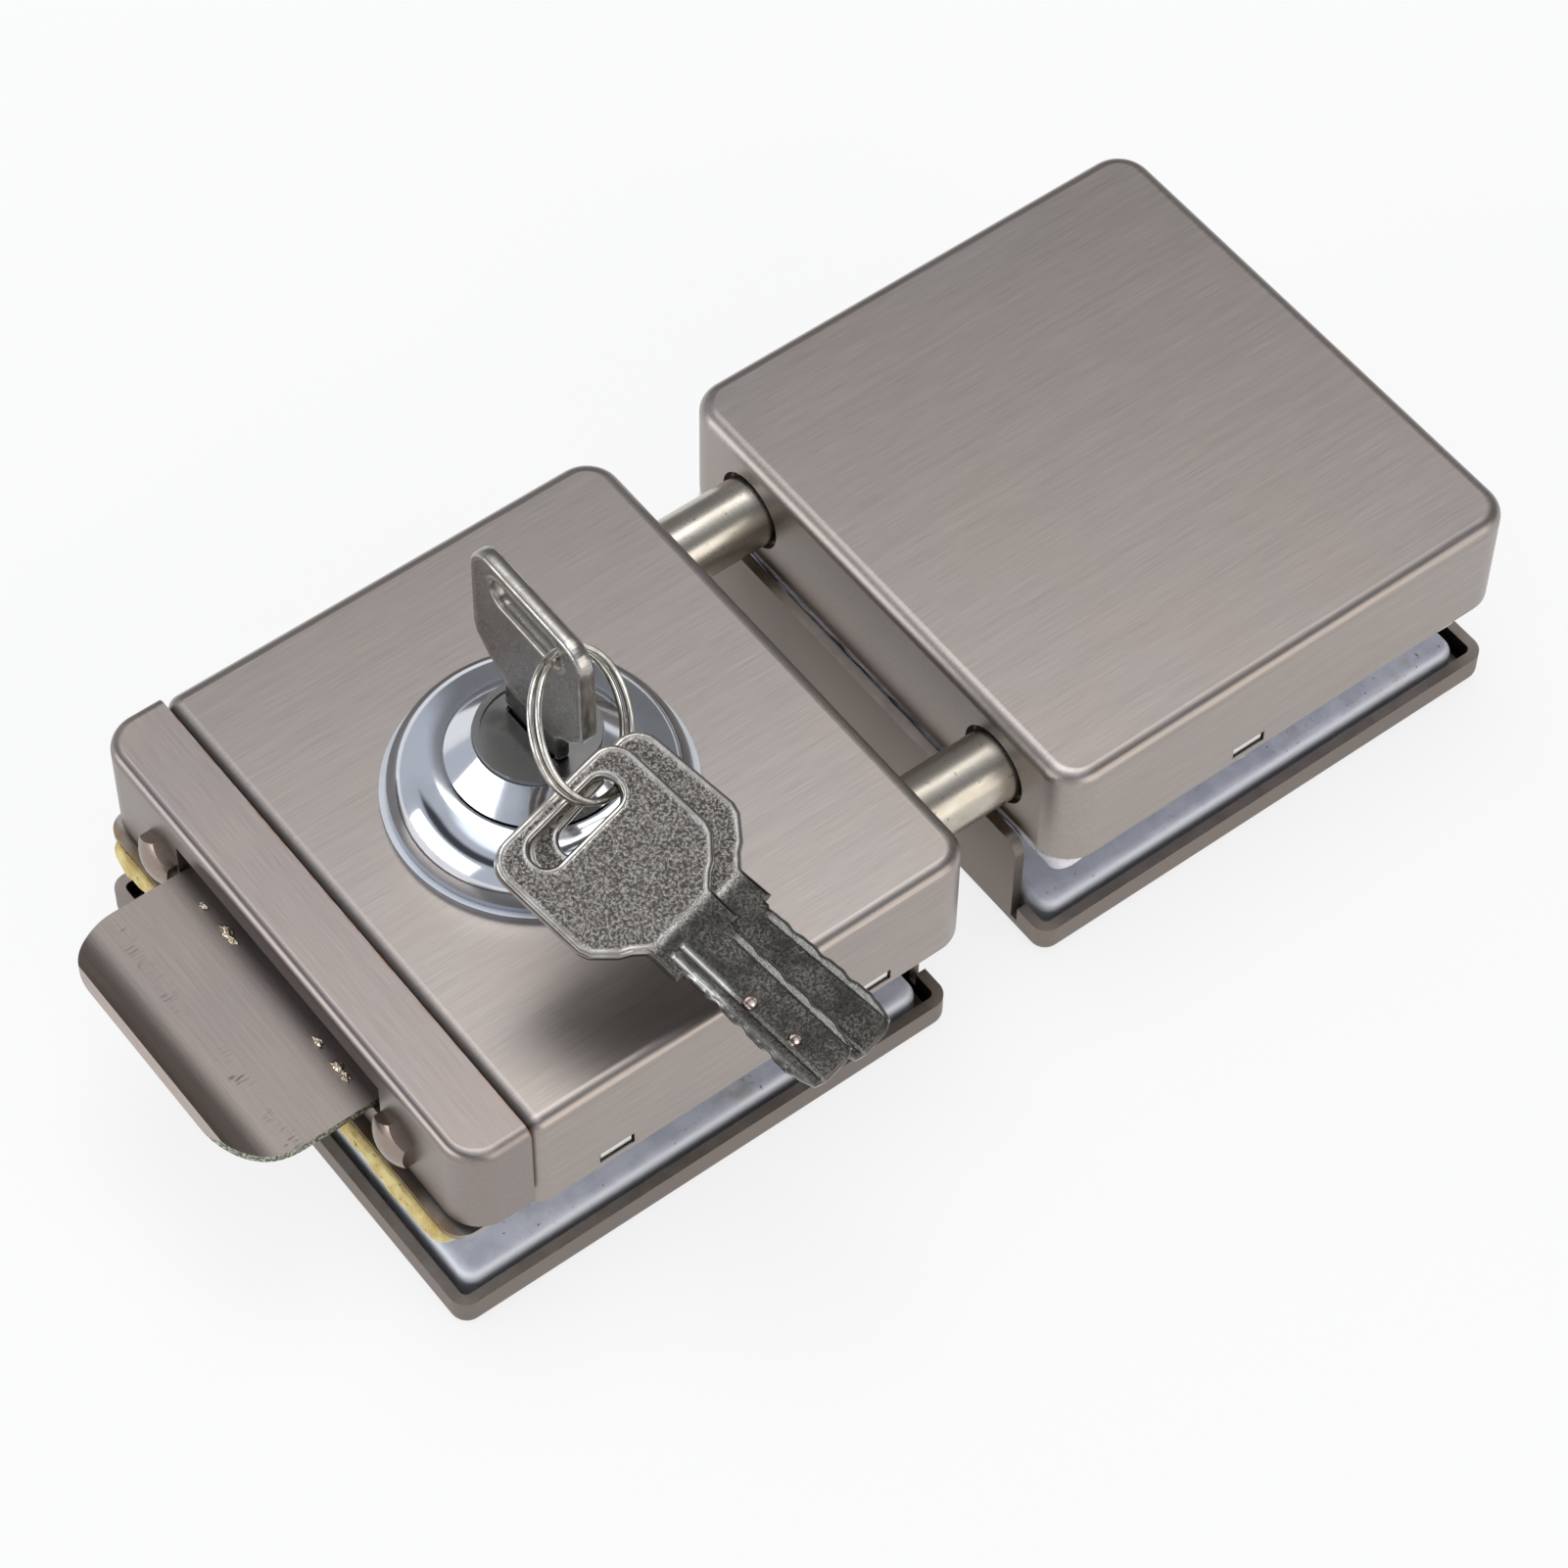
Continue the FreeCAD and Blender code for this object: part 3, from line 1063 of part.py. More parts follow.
def build_all():
    """Every piece of the lock, from the door leaves to the keys."""
    lock_left = "(-cap_left - base_reach)"
    lock_right = "(lock_right - cover_wall - sheet_play)"
    flange = ("-seam_left + seam_round + sheet_play", "lock_right - corner_round - sheet_play")
    strike_flange = (f"{STRIKE_LEFT} + corner_round + sheet_play",
                     f"{STRIKE_RIGHT} - corner_round - sheet_play")
    build_lock_cover()
    build_strike_cover()
    base_plate("lock_base_plate", lock_left, lock_right, "plate_round", flange,
               (minus("catch_far"), "catch_near"), LOCK_SCREW_X)
    base_plate("strike_base_plate", f"{STRIKE_LEFT} + cover_wall + sheet_play",
               f"{STRIKE_RIGHT} - cover_wall - sheet_play", "corner_round - cover_wall - sheet_play",
               strike_flange, (f"({STRIKE_LEFT} + strike_catch)",), STRIKE_SCREW_X)
    glass_pad("lock_glass_pad", f"{lock_left} - pad_reach", f"{REAR_RIGHT} - rear_thick - pad_play",
              "pad_inset", LOCK_SCREW_X)
    glass_pad("strike_glass_pad", f"{STRIKE_REAR_LEFT} + rear_thick + pad_play",
              f"{STRIKE_RIGHT} - pad_back", "strike_pad_inset", STRIKE_SCREW_X)
    rear_cover("lock_rear_cover", f"{REAR_RIGHT} - rear_width", REAR_RIGHT,
               (f"{REAR_RIGHT} - rear_thick", REAR_RIGHT),
               (f"{REAR_RIGHT} - rear_thick * 2", f"{REAR_RIGHT} + rear_thick"))
    rear_cover("strike_rear_cover", STRIKE_REAR_LEFT, f"{STRIKE_REAR_LEFT} + rear_width",
               (STRIKE_REAR_LEFT, f"{STRIKE_REAR_LEFT} + rear_thick"),
               (f"{STRIKE_REAR_LEFT} - rear_thick", f"{STRIKE_REAR_LEFT} + rear_thick * 2"))
    clamp_plate("lock_clamp_plate", f"{REAR_RIGHT} - rear_width", REAR_RIGHT, LOCK_SCREW_X)
    clamp_plate("strike_clamp_plate", STRIKE_REAR_LEFT, f"{STRIKE_REAR_LEFT} + rear_width", STRIKE_SCREW_X)
    clamp_hardware("lock", LOCK_SCREW_X)
    clamp_hardware("strike", STRIKE_SCREW_X)
    build_bolt_guides()
    build_rosette()
    build_cylinder_body()
    build_cylinder_nut()
    build_plug()
    build_tumblers()
    build_cam()
    build_locking_bar("locking_bar_front", -1)
    build_locking_bar("locking_bar_rear", 1)
    build_bar_straps()
    build_end_cap()
    build_pull_tab()
    build_rod_yoke()
    build_rod("rod_front", -1)
    build_rod("rod_rear", 1)
    build_cap_screws()
    build_keys()
    build_split_ring()


def check_and_export():
    """Stop at the first wrong object or shape, then write one file for each node."""
    for item in doc.Objects:
        if "Invalid" in item.State or "Error" in item.State:
            raise RuntimeError(f"{item.Label} did not compute")
    os.makedirs("parts", exist_ok=True)
    for name, item in nodes.items():
        if item.Shape.isNull() or not item.Shape.isValid():
            raise RuntimeError(f"{name} has no valid shape")
        item.Shape.exportStep(f"parts/{name}.step")
    print(f"{len(nodes)} nodes written")


build_all()
doc.recompute()
check_and_export()
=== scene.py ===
"""Looks of the clamp-on glass door lock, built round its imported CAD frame.

Metres, in the frame of the part: the origin is on the cylinder axis in the plane of the rear faces,
+X runs from the lock box to the strike box, +Y to the rear, and the key side faces +Z.
"""

import json
import math

import bmesh
import bpy
import numpy as np
from mathutils import Matrix, Vector


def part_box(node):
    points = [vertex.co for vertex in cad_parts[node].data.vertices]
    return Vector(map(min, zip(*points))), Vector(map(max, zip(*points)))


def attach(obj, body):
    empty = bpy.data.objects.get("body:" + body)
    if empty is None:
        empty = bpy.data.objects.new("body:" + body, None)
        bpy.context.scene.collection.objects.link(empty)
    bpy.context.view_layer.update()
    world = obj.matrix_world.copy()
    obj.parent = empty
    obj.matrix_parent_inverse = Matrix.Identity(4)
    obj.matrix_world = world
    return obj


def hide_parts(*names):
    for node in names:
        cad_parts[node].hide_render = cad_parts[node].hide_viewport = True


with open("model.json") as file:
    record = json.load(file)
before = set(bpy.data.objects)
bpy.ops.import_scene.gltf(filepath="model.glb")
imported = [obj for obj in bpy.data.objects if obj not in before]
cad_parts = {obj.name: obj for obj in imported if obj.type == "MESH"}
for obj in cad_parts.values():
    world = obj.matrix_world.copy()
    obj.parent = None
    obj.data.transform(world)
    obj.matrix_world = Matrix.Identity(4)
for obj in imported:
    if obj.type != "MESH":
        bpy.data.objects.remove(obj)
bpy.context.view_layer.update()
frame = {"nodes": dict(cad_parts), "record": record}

MM = 0.001

# Sizes that the part's source also has, in millimetres.
HEAD_WIDTH = 22.6
HEAD_HEIGHT = 21.4
HEAD_SLOPE = 1.4
HEAD_CHAMFER = 4.0
HEAD_ROUND = 3.6
ROOT_WIDTH = 11.0
ROOT_LENGTH = 4.7
BLADE_WIDTH = 8.8
BLADE_LENGTH = 25.6
TIP_CHAMFER = 2.4
KEY_THICK = 2.2
SLOT_LENGTH = 14.2
SLOT_HEIGHT = 4.3
SLOT_RISE = 17.0
KEY_ROOT = 53.6
RING_RADIUS = 9.3
RING_WIRE = 0.42
RING_PITCH = 1.27
RING_TURNS = 2
TAB_TOP = 27.2
SCREW_REACH = 13.0

# Where the split ring's middle comes to lie, as the source works it out.
RING_CENTRE = (-1.293, -11.623, 63.441)

# Relief of the keys, in millimetres. Grooves and ledge run along the blade's side.
KEY_GRID = 0.17
EDGE_ROUND = 0.34
FIELD_DEPTH = 0.20
WORN_FIELD_DEPTH = 0.14
BLADE_DEPTH = 0.16
GROOVES = (-2.05, -3.75)
GROOVE_DEPTH = 0.42
LEDGE_DEPTH = 0.40
DIMPLE_DEPTH = 0.50
LEAST_HALF = 0.3

# The foam pads, in millimetres: holes for the clamp screws' sleeves, how far the edge line lies in
# from the solid's sides, the radius of its corners, and the gap left above and below.
HOLE_RADIUS = 3.7
PAD_INSET = 0.6
PAD_ROUND = 2.0
PAD_CLEARANCE = 0.02

# The photograph's viewpoint in metres, and the camera's own directions.
VIEWPOINT = (-0.20248964, -0.30589115, 0.55394108)
VIEW_RIGHT = (0.79498187, -0.6065353, 0.01089781)
VIEW_UP = (0.48991199, 0.6525116, 0.57811318)
VIEW_AHEAD = (0.357757, 0.45425053, -0.81588381)
LENS_MM = 117.36
SENSOR_MM = 36.0


# Picture frame and studio

def place_camera():
    """The photograph's viewpoint. The matrix columns are the camera's right, up and backward."""
    data = bpy.data.cameras.new("photo_camera")
    data.lens = LENS_MM
    data.sensor_width = SENSOR_MM
    data.clip_start = 0.01
    data.clip_end = 20.0
    camera = bpy.data.objects.new("photo_camera", data)
    turn = Matrix((Vector(VIEW_RIGHT), Vector(VIEW_UP), -Vector(VIEW_AHEAD))).transposed().to_4x4()
    camera.matrix_world = Matrix.Translation(VIEWPOINT) @ turn
    bpy.context.scene.collection.objects.link(camera)
    bpy.context.scene.camera = camera


def softbox(name, place, aim, size, power, colour="#FFFFFF"):
    """A rectangular studio light at place that faces aim."""
    data = bpy.data.lights.new(name, "AREA")
    data.shape = "RECTANGLE"
    data.size, data.size_y = size
    data.energy = power
    data.color = hex_colour(colour)[:3]
    lamp = bpy.data.objects.new(name, data)
    lamp.location = place
    lamp.rotation_mode = "QUATERNION"
    lamp.rotation_quaternion = (Vector(aim) - Vector(place)).to_track_quat("-Z", "Y")
    bpy.context.scene.collection.objects.link(lamp)


# Nodes

def hex_colour(text):
    """Linear RGBA from an sRGB hex value."""
    channels = [int(text[i:i + 2], 16) / 255 for i in (1, 3, 5)]
    linear = [c / 12.92 if c <= 0.04045 else ((c + 0.055) / 1.055) ** 2.4 for c in channels]
    return (*linear, 1.0)


def feed(tree, socket, value):
    """Link value to the socket where it is a socket itself, or else set it there."""
    if isinstance(value, bpy.types.NodeSocket):
        tree.links.new(value, socket)
    else:
        socket.default_value = value


def add_node(tree, kind, settings=None, inputs=None):
    """One node with its settings and its inputs, which are linked or set."""
    node = tree.nodes.new(kind)
    for name, value in (settings or {}).items():
        setattr(node, name, value)
    for name, value in (inputs or {}).items():
        feed(tree, node.inputs[name], value)
    return node


def new_material(name):
    """An empty node material and its tree."""
    material = bpy.data.materials.new(name)
    material.use_nodes = True
    material.node_tree.nodes.clear()
    return material, material.node_tree


def finish_material(material, tree, shader, **look):
    """Link a shader to the surface output, and set the colour that solid views use."""
    add_node(tree, "ShaderNodeOutputMaterial", inputs={"Surface": shader})
    for name, value in look.items():
        setattr(material, name, value)
    return material


def place_of(tree):
    """Where a point lies in the part's frame, in metres."""
    return add_node(tree, "ShaderNodeTexCoord").outputs["Object"]


def noise(tree, at, grain_mm, stretch=(1, 1, 1), detail=3.0, rough=0.55):
    """Noise whose blobs are grain_mm across, drawn out by stretch along each axis. Runs 0 to 1."""
    moved = add_node(tree, "ShaderNodeMapping", inputs={
        "Vector": at, "Scale": tuple(1 / (grain_mm * MM * s) for s in stretch)})
    return add_node(tree, "ShaderNodeTexNoise", inputs={
        "Vector": moved.outputs["Vector"], "Scale": 1.0, "Detail": detail,
        "Roughness": rough}).outputs["Fac"]


def ramp(tree, value, low, high, out_low=0.0, out_high=1.0, smooth=True):
    """Carry value from low..high to out_low..out_high, held at the ends."""
    return add_node(tree, "ShaderNodeMapRange", {
        "clamp": True, "interpolation_type": "SMOOTHSTEP" if smooth else "LINEAR"}, {
        "Value": value, "From Min": low, "From Max": high,
        "To Min": out_low, "To Max": out_high}).outputs["Result"]


def calc(tree, operation, first, second=0.0, third=0.0):
    """One sum on numbers."""
    node = add_node(tree, "ShaderNodeMath", {"operation": operation})
    for socket, value in zip(node.inputs, (first, second, third)):
        feed(tree, socket, value)
    return node.outputs["Value"]


def mix_colour(tree, share, first, second):
    """Blend two colours, each a socket or a linear RGBA, by share. Its colour sockets share their names
    with those for other kinds of value, so they are taken by number."""
    node = add_node(tree, "ShaderNodeMix", {"data_type": "RGBA"})
    feed(tree, node.inputs["Factor"], share)
    feed(tree, node.inputs[6], first)
    feed(tree, node.inputs[7], second)
    return node.outputs[2]


def split_place(tree, at):
    """The X, Y and Z of a place."""
    node = add_node(tree, "ShaderNodeSeparateXYZ", inputs={"Vector": at})
    return node.outputs["X"], node.outputs["Y"], node.outputs["Z"]


def facing(tree):
    """The X, Y and Z of the surface's own direction, rounding included."""
    normal = add_node(tree, "ShaderNodeNewGeometry").outputs["Normal"]
    return split_place(tree, normal)


def bump(tree, height, depth_mm, after=None):
    """A bump of depth_mm where height runs from 0 to 1."""
    inputs = {"Height": height, "Distance": depth_mm * MM, "Strength": 1.0}
    if after is not None:
        inputs["Normal"] = after
    return add_node(tree, "ShaderNodeBump", inputs=inputs).outputs["Normal"]


def metal(tree, colour, roughness, normal=None, anisotropic=0.0, tangent=None):
    """A bare or plated metal."""
    inputs = {"Base Color": colour, "Metallic": 1.0, "Roughness": roughness, "Anisotropic": anisotropic}
    if normal is not None:
        inputs["Normal"] = normal
    if tangent is not None:
        inputs["Tangent"] = tangent
    return add_node(tree, "ShaderNodeBsdfPrincipled", inputs=inputs).outputs["BSDF"]


# Finishes

def brushed_nickel(name, colour, along, shade=0.06, rough=0.32, marks_and_painted_light=None):
    """Satin nickel over steel sheet, brushed in straight lines along X or Y.

    To the eye: a warm grey with fine streaks that run one way, wide soft highlights across them, a
    few deeper scratches, and a polish that comes out brighter where the sheet is bent over an edge.
    The streaks are 0.12 mm wide, drawn a little coarser than the real ones so that they show.
    """
    material, tree = new_material(name)
    at = place_of(tree)
    long = (60.0, 1.0, 1.0) if along == "X" else (1.0, 60.0, 1.0)
    streaks = noise(tree, at, 0.12, long, 3.0, 0.6)
    bands = noise(tree, at, 0.7, long, 2.0)
    clouds = noise(tree, at, 22.0, (1, 1, 1), 2.0)
    base = hex_colour(colour)
    light = tuple(min(1.0, c * (1 + 2.0 * shade)) for c in base[:3]) + (1.0,)
    dark = tuple(c * (1 - 2.0 * shade) for c in base[:3]) + (1.0,)
    tone = calc(tree, "MULTIPLY_ADD", streaks, 0.75, calc(tree, "MULTIPLY", bands, 0.25))
    shown = mix_colour(tree, ramp(tree, tone, 0.3, 0.7), dark, light)
    warm = mix_colour(tree, ramp(tree, clouds, 0.35, 0.65, 0.0, 0.10), shown, hex_colour("#B09A86"))
    dulled = calc(tree, "MULTIPLY_ADD", tone, 0.10, rough)
    normal = bump(tree, streaks, 0.002)
    # The hook adds a finish's own marks, and for the lip and rear finishes also painted shade and painted
    # highlights.
    if marks_and_painted_light is not None:
        warm = marks_and_painted_light(tree, at, warm)
    tangent = add_node(tree, "ShaderNodeCombineXYZ", inputs={
        "X": float(along == "X"), "Y": float(along == "Y")})
    shader = metal(tree, warm, dulled, normal, 0.55, tangent.outputs["Vector"])
    return finish_material(material, tree, shader, diffuse_color=base)


def cap_cut_edge(tree, at, colour):
    """The end cap's sawn edge along the seam: bare steel that has gone orange-brown."""
    x = split_place(tree, at)[0]
    nz = facing(tree)[2]
    cut = calc(tree, "MULTIPLY", ramp(tree, x, -30.50 * MM, -30.30 * MM), ramp(tree, nz, 0.2, 0.5))
    patch = ramp(tree, noise(tree, at, 2.5, (1, 1, 1), 3.0), 0.4, 0.65, 0.0, 0.7)
    return mix_colour(tree, calc(tree, "MULTIPLY", cut, patch), colour, hex_colour("#8A5F45"))


def tab_stretch_marks(tree, at, colour):
    """Short dark ticks across the pull tab's bend, where the sheet stretched over the tool, and a
    speckled, greenish silver edge where the plating is thin."""
    x = split_place(tree, at)[0]
    ticks = ramp(tree, noise(tree, at, 0.34, (7.0, 1.0, 1.0), 2.0), 0.56, 0.66)
    band = calc(tree, "ABSOLUTE", calc(tree, "ADD", x, 50.9 * MM))
    where = calc(tree, "MULTIPLY", ramp(tree, band, 0.5 * MM, 1.7 * MM, 1.0, 0.0),
                 ramp(tree, noise(tree, at, 6.0, (1, 1, 1), 2.0), 0.42, 0.58))
    share = calc(tree, "MULTIPLY", calc(tree, "MULTIPLY", ticks, where), 0.7)
    marked = mix_colour(tree, share, colour, hex_colour("#4A423E"))
    side = ramp(tree, facing(tree)[2], 0.25, 0.05)
    grit = ramp(tree, noise(tree, at, 0.35, (1, 1, 1), 3.0), 0.42, 0.60)
    cut = mix_colour(tree, grit, hex_colour("#5E5D50"), hex_colour("#B9BDAE"))
    return mix_colour(tree, side, marked, cut)


def lip_tones(tree, at, colour):
    """The base plates: a mottled brown painted shade left of the end cap's wall, where the cap overhangs
    the lip, and the snap tabs painted near white as a painted highlight.
    """
    x, y, z = split_place(tree, at)
    # Painted shade: the lip beside and under the end cap turns a mottled brown, standing in for the cap's
    # shadow and dark reflection.
    painted_cap_shade = calc(tree, "MULTIPLY", ramp(tree, x, -39.2 * MM, -40.2 * MM),
                ramp(tree, noise(tree, at, 2.2, (1, 1, 1), 3.0), 0.3, 0.7, 0.45, 0.9))
    cap_shaded_lip = mix_colour(tree, painted_cap_shade, colour, hex_colour("#8C745A"))
    reach = calc(tree, "ABSOLUTE", y)
    # Painted highlight: the snap tabs above z = 19.95 mm on the front and rear faces are painted near
    # white.
    painted_tab_highlight = calc(tree, "MULTIPLY", ramp(tree, reach, 38.95 * MM, 39.15 * MM),
                ramp(tree, z, 19.8 * MM, 19.95 * MM))
    return mix_colour(tree, painted_tab_highlight, cap_shaded_lip, hex_colour("#F2F0EC"))


def rear_painted_light_and_shade(tree, at, colour):
    """The rear covers: the tops of the rims painted lighter in patches, a painted highlight, and the
    inner faces of the walls painted near black, a painted shade. A wall's face looks inwards where it
    points back to the cover's middle."""
    x, y, z = split_place(tree, at)
    nx, ny, nz = facing(tree)
    middle = ramp(tree, x, 0.040, 0.045, -3.3 * MM, 88.5 * MM)
    across = calc(tree, "MULTIPLY", nx, calc(tree, "SUBTRACT", x, middle))
    inwards = calc(tree, "MINIMUM", across, calc(tree, "MULTIPLY", ny, y))
    # Painted shade: faces that look inwards are painted near black.
    painted_inner_shade = ramp(tree, inwards, -9.0 * MM, -3.0 * MM, 1.0, 0.0)
    colour = mix_colour(tree, painted_inner_shade, colour, hex_colour("#2A2624"))
    # Painted highlight: the face-up tops of the rims are painted lighter, in patches.
    rim = calc(tree, "MULTIPLY", ramp(tree, nz, 0.7, 0.95), ramp(tree, z, 4.8 * MM, 5.1 * MM))
    patch = ramp(tree, noise(tree, at, 1.1, (3, 3, 1), 4.0), 0.35, 0.65, 0.4, 0.9)
    return mix_colour(tree, calc(tree, "MULTIPLY", rim, patch), colour, hex_colour("#A0968E"))


def zinc_plate(name, colour="#DADCE6"):
    """Bright zinc plating on pressed steel.

    To the eye: a cool lavender white, cloudy and nearly matt, with yellow-brown stains and specks. The
    bent edges and every face that tilts away from straight up are painted lighter, a painted highlight.
    The plated grain scatters like paint.
    """
    material, tree = new_material(name)
    at = place_of(tree)
    clouds = noise(tree, at, 3.5, (1, 1, 1), 4.0)
    specks = noise(tree, at, 0.7, (1, 1, 1), 2.0)
    stains = noise(tree, at, 9.0, (1, 1, 1), 4.0)
    shown = mix_colour(tree, ramp(tree, clouds, 0.3, 0.7), hex_colour("#C6C8D6"), hex_colour(colour))
    shown = mix_colour(tree, ramp(tree, stains, 0.56, 0.70, 0.0, 0.45), shown, hex_colour("#A79A7C"))
    rust = calc(tree, "MULTIPLY", ramp(tree, specks, 0.66, 0.74), ramp(tree, stains, 0.46, 0.56))
    shown = mix_colour(tree, rust, shown, hex_colour("#7B6240"))
    # Painted highlight: faces that tilt away from straight up are painted lighter.
    painted_edge_highlight = ramp(tree, facing(tree)[2], 0.97, 0.75, 0.0, 0.8)
    shown = mix_colour(tree, painted_edge_highlight, shown, hex_colour("#F6F7FB"))
    shader = add_node(tree, "ShaderNodeBsdfPrincipled", inputs={
        "Base Color": shown, "Metallic": 0.20, "Roughness": ramp(tree, clouds, 0.3, 0.7, 0.55, 0.70),
        "Normal": bump(tree, specks, 0.015)}).outputs["BSDF"]
    return finish_material(material, tree, shader, diffuse_color=hex_colour(colour))


def polished_chrome(name, colour="#D9DCE2", rough=0.08):
    """Decorative chrome on a buffed part.

    To the eye: a cold mirror with hairlines left by buffing and faint wipe marks, greyer and duller
    round the foot of the rosette, where the buff didn't reach.
    """
    material, tree = new_material(name)
    at = place_of(tree)
    wipe = noise(tree, at, 6.0, (1, 1, 1), 3.0)
    hairs = noise(tree, at, 0.10, (18.0, 1.0, 1.0), 2.0)
    tint = tuple(0.82 * c for c in hex_colour(colour)[:3]) + (1.0,)
    shown = mix_colour(tree, ramp(tree, wipe, 0.35, 0.65, 0.0, 0.5), hex_colour(colour), tint)
    dulled = calc(tree, "MULTIPLY_ADD", ramp(tree, hairs, 0.55, 0.8), 0.05, rough)
    z = split_place(tree, at)[2]
    edge = ramp(tree, z, 37.4 * MM, 36.9 * MM, 0.0, 0.4)
    shown = mix_colour(tree, edge, shown, hex_colour("#5A5C60"))
    shader = metal(tree, shown, calc(tree, "ADD", edge, calc(tree, "MULTIPLY_ADD", wipe, 0.05, dulled)))
    return finish_material(material, tree, shader, diffuse_color=hex_colour(colour))


def nickel_warm_underside(name):
    """Nickel-plated round bolts, turned.

    To the eye: a grey metal with a sharp shine along it, the undersides painted golden brown in patches,
    a painted warm reflection, with fine rings of turning marks and a few rubbed spots.
    """
    material, tree = new_material(name)
    at = place_of(tree)
    nz = facing(tree)[2]
    rings = noise(tree, at, 0.14, (1.0, 40.0, 40.0), 3.0, 0.65)
    patches = noise(tree, at, 5.0, (2.2, 1.0, 1.0), 4.0)
    # Painted reflection: the undersides, broken up by patches, are painted golden brown.
    painted_warm_underside = ramp(tree, calc(tree, "ADD", nz, calc(tree, "MULTIPLY", patches, 0.9)), -0.20, 0.45, 1.0, 0.0)
    patched = ramp(tree, patches, 0.35, 0.65)
    shown = mix_colour(tree, patched, hex_colour("#CBC5BB"), hex_colour("#B2AB9E"))
    shown = mix_colour(tree, calc(tree, "MULTIPLY", painted_warm_underside, 0.85), shown, hex_colour("#8F7A45"))
    spots = ramp(tree, noise(tree, at, 1.1, (1, 1, 1), 2.0), 0.66, 0.74)
    shown = mix_colour(tree, calc(tree, "MULTIPLY", spots, 0.5), shown, hex_colour("#5F4E33"))
    rough = calc(tree, "MULTIPLY_ADD", rings, 0.08, ramp(tree, patches, 0.3, 0.7, 0.20, 0.28))
    shader = metal(tree, shown, rough, bump(tree, rings, 0.003))
    return finish_material(material, tree, shader, diffuse_color=hex_colour("#B0A898"))


def key_nickel(name, worn):
    """Nickel silver keys, stamped, with a pebbled field and milled cuts.

    To the eye: smooth rims that shine, a dark sparkling field between them whose grains are 0.2 to
    0.4 mm, straight milling in the grooves, brightest near the head, and coppery dimples where the
    drill went through the plating. The attribute pebble marks the field, cut the milled places,
    copper the dimples and shank the darkened blade. The worn key is rubbed to a satin grey with
    scratches.
    """
    material, tree = new_material(name)
    at = place_of(tree)
    pebble = add_node(tree, "ShaderNodeAttribute", {"attribute_name": "pebble"}).outputs["Fac"]
    cut = add_node(tree, "ShaderNodeAttribute", {"attribute_name": "cut"}).outputs["Fac"]
    copper = add_node(tree, "ShaderNodeAttribute", {"attribute_name": "copper"}).outputs["Fac"]
    shank = add_node(tree, "ShaderNodeAttribute", {"attribute_name": "shank"}).outputs["Fac"]
    grains = noise(tree, at, 0.36, (1, 1, 1), 3.0, 0.75)
    fine = noise(tree, at, 0.16, (1, 1, 1), 1.0, 0.5)
    wear = noise(tree, at, 3.0, (1, 1, 1), 4.0)
    worn_share = ramp(tree, wear, 0.35, 0.65)
    smooth_tone = mix_colour(tree, worn_share, hex_colour("#B0ACA6"), hex_colour("#948F89"))
    field_light, field_dark = ("#A8A39C", "#8B867F") if worn else ("#B9B4AE", "#57524E")
    sparkle = ramp(tree, grains, 0.40, 0.60)
    pebble_tone = mix_colour(tree, sparkle, hex_colour(field_dark), hex_colour(field_light))
    shown = mix_colour(tree, pebble, smooth_tone, pebble_tone)
    darkened = calc(tree, "MULTIPLY", shank, ramp(tree, wear, 0.35, 0.65, 0.90, 0.66))
    shown = mix_colour(tree, darkened, shown, hex_colour("#33312E"))
    shown = mix_colour(tree, cut, shown, hex_colour("#D4D2CC"))
    shown = mix_colour(tree, copper, shown, hex_colour("#A89890"))
    height = calc(tree, "MULTIPLY", calc(tree, "ADD", grains, calc(tree, "MULTIPLY", fine, 0.6)), pebble)
    normal = bump(tree, height, 0.05 if worn else 0.22)
    normal = bump(tree, noise(tree, at, 0.5, (1, 1, 1), 3.0), 0.012, normal)
    scratches = noise(tree, at, 0.12, (1.0, 12.0, 25.0) if worn else (20.0, 1.0, 1.0), 2.0)
    normal = bump(tree, scratches, 0.006 if worn else 0.002, normal)
    rough = ramp(tree, wear, 0.3, 0.7, 0.24, 0.36) if worn else ramp(tree, wear, 0.3, 0.7, 0.14, 0.24)
    shader = metal(tree, shown, rough, normal)
    return finish_material(material, tree, shader, diffuse_color=hex_colour("#A5A29C"))


def ring_wire_steel(name):
    """Nickel-plated spring steel wire of the split ring.

    To the eye: a bright silvery wire with a slightly yellow cast and long drawing lines.
    """
    material, tree = new_material(name)
    at = place_of(tree)
    wear = noise(tree, at, 1.8, (1, 1, 1), 3.0)
    shown = mix_colour(tree, ramp(tree, wear, 0.35, 0.65), hex_colour("#DBD8D2"), hex_colour("#BEB9AE"))
    shader = metal(tree, shown, ramp(tree, wear, 0.3, 0.7, 0.10, 0.18), bump(tree, wear, 0.008))
    return finish_material(material, tree, shader, diffuse_color=hex_colour("#C0BAAC"))


